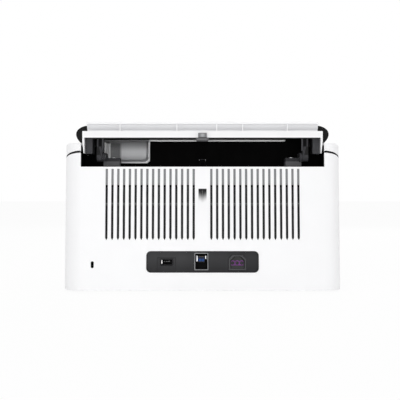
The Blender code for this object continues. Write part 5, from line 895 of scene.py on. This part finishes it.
CHIPS = ((2.0, 58.0, 14.0, 14.0, 1.7), (-26.0, 60.0, 11.0, 11.0, 1.5),
         (27.0, 62.0, 9.0, 7.0, 1.5), (46.0, 52.0, 6.0, 5.0, 1.4),
         (-46.0, 68.0, 6.0, 5.0, 1.4), (14.0, 47.0, 5.0, 4.0, 1.2))
deck = box_of("main_board")[1][2]
shape = bmesh.new()
for x, y, wide, deep, tall in CHIPS:
    block(shape, (x - wide / 2, y - deep / 2, deck + 0.3),
          (x + wide / 2, y + deep / 2, deck + 0.3 + tall))
make("board_chips", shape, "base", chip, 0.15)

shape = bmesh.new()
for x, y, wide, deep, _ in CHIPS[:-1]:
    count = int(wide / 1.3)
    for index in range(count):
        place = x - wide / 2 + (index + 0.5) * wide / count
        for side in (-1, 1):
            near = y + side * deep / 2
            block(shape, (place - 0.25, near, deck),
                  (place + 0.25, near + side * 1.2, deck + 0.35))
for index in range(26):
    x = -64.0 + index * 5.0
    y = 44.0 + 3.2 * (index % 3)
    block(shape, (x - 0.8, y - 0.4, deck), (x + 0.8, y + 0.4, deck + 0.6))
make("board_leads", shape, "base", nickel)

shape = bmesh.new()
for x, y, radius, tall in ((-60.0, 56.0, 4.0, 11.0), (-60.0, 67.0, 4.0, 11.0),
                           (-50.0, 54.0, 3.2, 8.0), (62.0, 66.0, 5.0, 12.5),
                           (63.0, 54.0, 4.0, 10.0)):
    profile = [(radius * 0.94, 0.0), (radius, 0.5), (radius, 1.4), (radius * 0.9, 1.9),
               (radius, 2.4), (radius, tall - 0.5), (radius * 0.93, tall),
               (radius * 0.82, tall), (radius * 0.8, tall - 0.25)]
    turned(shape, profile, (x, y, deck), (0, 0, 1), 28)
make("board_capacitors", shape, "base", sleeve)

shape = bmesh.new()
for x, y, count in ((-66.0, 46.0, 4), (26.0, 44.5, 10), (62.0, 45.0, 5)):
    half = (count * 2.0 + 2.4) / 2
    for side in (-1, 1):
        block(shape, (x - half, y + side * 2.4, deck), (x + half, y + side * 1.5, deck + 6.0))
        block(shape, (x + side * half, y - 1.5, deck),
              (x + side * (half - 0.9), y + 1.5, deck + 6.0))
    block(shape, (x - half + 0.9, y - 1.5, deck), (x + half - 0.9, y + 1.5, deck + 1.5))
    for index in range(count):
        pin = x + (index - (count - 1) / 2) * 2.0
        block(shape, (pin - 0.3, y - 0.3, deck + 1.5), (pin + 0.3, y + 0.3, deck + 5.2))
make("board_connectors", shape, "base", dull_white)


# The motor's end cap and terminals, on the base

low, high = box_of("motor")
x, y, z = (high[0], (low[1] + high[1]) / 2, (low[2] + high[2]) / 2)
shape = bmesh.new()
turned(shape, [(15.6, 0.0), (15.6, 0.5), (14.9, 0.9), (6.0, 0.9), (5.2, 1.3), (5.2, 2.6),
               (4.4, 3.0), (2.2, 3.0), (2.0, 2.4)], (x, y, z), (1, 0, 0), 40)
make("motor_end_cap", shape, "base", nickel)
shape = bmesh.new()
for side in (-1, 1):
    pin = y + side * 9.0
    block(shape, (x + 0.9, pin - 1.2, z - 1.6), (x + 4.6, pin + 1.2, z - 1.2))
    block(shape, (x + 0.9, pin - 2.2, z - 3.4), (x + 1.7, pin + 2.2, z + 1.2))
make("motor_terminals", shape, "base", gold, 0.1)


# Symbols on the buttons, and the small lights beside them. The bezel's face stands at FACE_Y at
# the height FACE_Z, and leans back by 21 over 130.

FACE_Y = -85.754
FACE_Z = 118.0
FRONT_TURN = lean_about(FACE_Y, FACE_Z, -math.atan2(21, 130))


def stroke(shape, points, half, near, far, closed):
    """A thin raised line of short straight runs on an upright front face."""
    pairs = list(zip(points, points[1:]))
    if closed:
        pairs.append((points[-1], points[0]))
    for (x, z), (to_x, to_z) in pairs:
        length = math.hypot(to_x - x, to_z - z)
        along = ((to_x - x) / length, (to_z - z) / length)
        over = half * 0.7
        start = (x - along[0] * over, z - along[1] * over)
        stop = (to_x + along[0] * over, to_z + along[1] * over)
        side = (-along[1] * half, along[0] * half)
        outline = [(point[0] + sign * side[0], point[1] + sign * side[1])
                   for point, sign in ((start, 1), (start, -1), (stop, -1), (stop, 1))]
        prism(shape, outline, near, far, 1)


def arc(x, z, radius, start, stop, steps):
    """Points along an arc, with its angles in degrees."""
    angles = [math.radians(start + (stop - start) * step / steps) for step in range(steps + 1)]
    return [(x + radius * math.cos(angle), z + radius * math.sin(angle)) for angle in angles]


SYMBOLS = (
    [(arc(0.0, -0.1, 1.9, 125, 415, 18), False), ([(0.0, 0.5), (0.0, 2.2)], False)],
    [([(-1.4, -1.4), (1.4, 1.4)], False), ([(-1.4, 1.4), (1.4, -1.4)], False)],
    [([(-1.3, -1.8), (1.3, -1.8), (1.3, 0.9), (0.4, 1.8), (-1.3, 1.8)], True),
     ([(0.4, 1.8), (0.4, 0.9), (1.3, 0.9)], False)],
    [([(-0.5, -1.9), (1.7, -1.9), (1.7, 1.1), (-0.5, 1.1)], True),
     ([(-0.5, -0.9), (-1.6, -0.9), (-1.6, 2.0), (0.7, 2.0), (0.7, 1.1)], False)],
)
face = FACE_Y - 1.0
lights = bmesh.new()
for number, strokes in enumerate(SYMBOLS, 1):
    button = "button_%d" % number
    low, high = box_of(button)
    x = (low[0] + high[0]) / 2
    shape = bmesh.new()
    for points, closed in strokes:
        stroke(shape, [(x + across, FACE_Z + up) for across, up in points], 0.2, face - 0.08,
               face + 0.2, closed)
    make("button_symbol_%d" % number, shape, button, print_grey,
         turn=FRONT_TURN)
    turned(lights, [(0.8, 0.0), (0.8, 0.35), (0.55, 0.6), (0.2, 0.68)],
           (x, FACE_Y + 0.3, FACE_Z + 7.2), (0, -1, 0), 20)
make("button_lights", lights, "hatch", lens, turn=FRONT_TURN)


# The rolled edge under the lid's eave, in a white darkened as painted shade, and the catch at the
# bottom of the paper bay, with its bar in deep grey as painted shade

shape = bmesh.new()
outer = []
inner = []
for step in range(9):
    angle = math.radians(55 * step / 8)
    outer.append((70.0 + 8.2 * math.cos(angle), 187.4 - 7.4 * math.sin(angle)))
    inner.append((70.0 + 7.4 * math.cos(angle), 187.4 - 7.0 * math.sin(angle)))
outer.append((74.6, 179.4))
inner.append((73.8, 179.4))
prism(shape, outer + inner[::-1], -130.4, 130.4, 0)
make("lid_rolled_edge", shape, "tray", shaded)

shape = bmesh.new()
for side in (-1, 1):
    prism(shape, [(side * 3.8, 144.6), (side * 2.9, 144.6), (side * 2.9, 147.6),
                  (side * 3.8, 149.4)], 49.6, 51.4, 1)
make("bay_catch_posts", shape, "hatch", light, 0.1)
# The catch's bar is deep grey, as painted shade on the catch's light moulding.
shape = bmesh.new()
block(shape, (-2.9, 49.6, 148.6), (2.9, 50.6, 149.3))
make("bay_catch_bar", shape, "hatch", deep_grey, 0.1)


# A thin flange on each tray arm's inner side

for side, end in SIDES:
    shape = bmesh.new()
    low = min(side * 110.9, side * 112.3)
    prism(shape, [(84.9, 171.6), (83.6, 171.6), (83.6, 158.0), (84.6, 156.4), (85.6, 157.2),
                  (85.2, 164.0)], low, low + 1.4, 0)
    make("tray_arm_flange_" + end, shape, "tray", flange, 0.1)


# Ribs on the deck, and size marks beside the width guides

shape = bmesh.new()
for index in range(-4, 5):
    x = index * 27.0
    prism(shape, [(-68.0, 138.3), (41.0, 138.3), (39.0, 139.7), (-66.0, 139.7)],
          x - 0.6, x + 0.6, 0)
make("deck_ribs", shape, "hatch", black, 0.2)

shape = bmesh.new()
for x in (-105.0, -92.0, -74.0, -52.5, 52.5, 74.0, 92.0, 105.0):
    block(shape, (x - 0.3, 21.0, 155.9), (x + 0.3, 27.0, 156.06))
for side in (-1, 1):
    block(shape, (side * 48.0, 20.6, 155.9), (side * 110.0, 21.1, 156.06))
make("tray_size_marks", shape, "tray", light)


# A bare plate and two rows of small vents under the base

shape = bmesh.new()
for side in (-1, 1):
    block(shape, (-32.0, side * 17.0 - 0.5, under - 0.35), (32.0, side * 17.0 + 0.5, under + 0.1))
    block(shape, (side * 31.5 - 0.5, -16.5, under - 0.35), (side * 31.5 + 0.5, 16.5, under + 0.1))
make("label_rim", shape, "base", dark, 0.15)
shape = bmesh.new()
for side in (-1, 1):
    for index in range(11):
        x = side * (48.0 + 5.0 * index)
        block(shape, (x - 1.0, -13.0, under - 0.25), (x + 1.0, 13.0, under + 0.1))
make("base_vent_ribs", shape, "base", dark, 0.2)


# Floor, light and camera

FLOOR_HALF = 60.0
AMBIENT = 0.55
BRIGHT = (1.0, 1.0, 1.0, 1.0)


def floor_material():
    """A pale floor that keeps the object's shadow and reads as white to the camera."""
    g = new_material("studio_floor")
    tone = g.mix(g.noise(4.0, 2.0), (0.91, 0.91, 0.91, 1.0), (0.93, 0.93, 0.93, 1.0))
    paper = g.add("ShaderNodeBsdfDiffuse", Color=tone)
    glow = g.add("ShaderNodeEmission", Color=BRIGHT, Strength=1.0)
    share = g.times(g.seen(), 0.94)
    both = g.add("ShaderNodeMixShader", None, {0: share, 1: paper.outputs[0],
                                               2: glow.outputs[0]})
    g.add("ShaderNodeOutputMaterial", Surface=both.outputs[0])
    return g.owner


sheet = bpy.data.meshes.new("floor")
sheet.from_pydata([(x * FLOOR_HALF, y * FLOOR_HALF, cad_box[0][2])
                   for x, y in ((-1, -1), (1, -1), (1, 1), (-1, 1))], [], [(0, 1, 2, 3)])
floor = bpy.data.objects.new("floor", sheet)
bpy.context.scene.collection.objects.link(floor)
floor.data.materials.append(floor_material())

sky = Graph(bpy.data.worlds.new("studio"))
bpy.context.scene.world = sky.owner
ground = sky.add("ShaderNodeBackground", Color=BRIGHT,
                 Strength=sky.remap(sky.seen(), 0.0, 1.0, AMBIENT, 1.0))
sky.add("ShaderNodeOutputWorld", Surface=ground.outputs[0])

# Square soft boxes that face the object: place, size and power
TARGET = Vector((0.0, 0.0, 0.09))
for name, place, size, power in (("key_box", (1.3, 1.4, 1.4), (1.4, 1.0), 7.5),
                                 ("fill_box", (-1.8, 1.2, 0.8), (1.4, 1.2), 7),
                                 ("low_box", (0.25, 2.2, 0.2), (1.6, 0.4), 11),
                                 ("top_box", (0.0, -0.2, 1.9), (1.8, 1.4), 6),
                                 ("front_box", (-0.5, -1.7, 1.1), (1.6, 1.2), 8)):
    lamp = bpy.data.lights.new(name, "AREA")
    lamp.shape = "RECTANGLE"
    lamp.size, lamp.size_y = size
    lamp.energy = power
    box = bpy.data.objects.new(name, lamp)
    box.location = place
    box.rotation_euler = (TARGET - Vector(place)).to_track_quat("-Z", "Y").to_euler()
    bpy.context.scene.collection.objects.link(box)

# The photograph's camera, behind the object and level
camera_data = bpy.data.cameras.new("camera")
camera_data.sensor_width = 36.0
camera_data.lens = 73.4
camera = bpy.data.objects.new("camera", camera_data)
camera.location = (0.0028, 0.999, 0.1019)
camera.rotation_euler = (math.radians(90), 0.0, math.radians(180))
bpy.context.scene.collection.objects.link(camera)
bpy.context.scene.camera = camera
bpy.context.scene.view_settings.view_transform = "Standard"
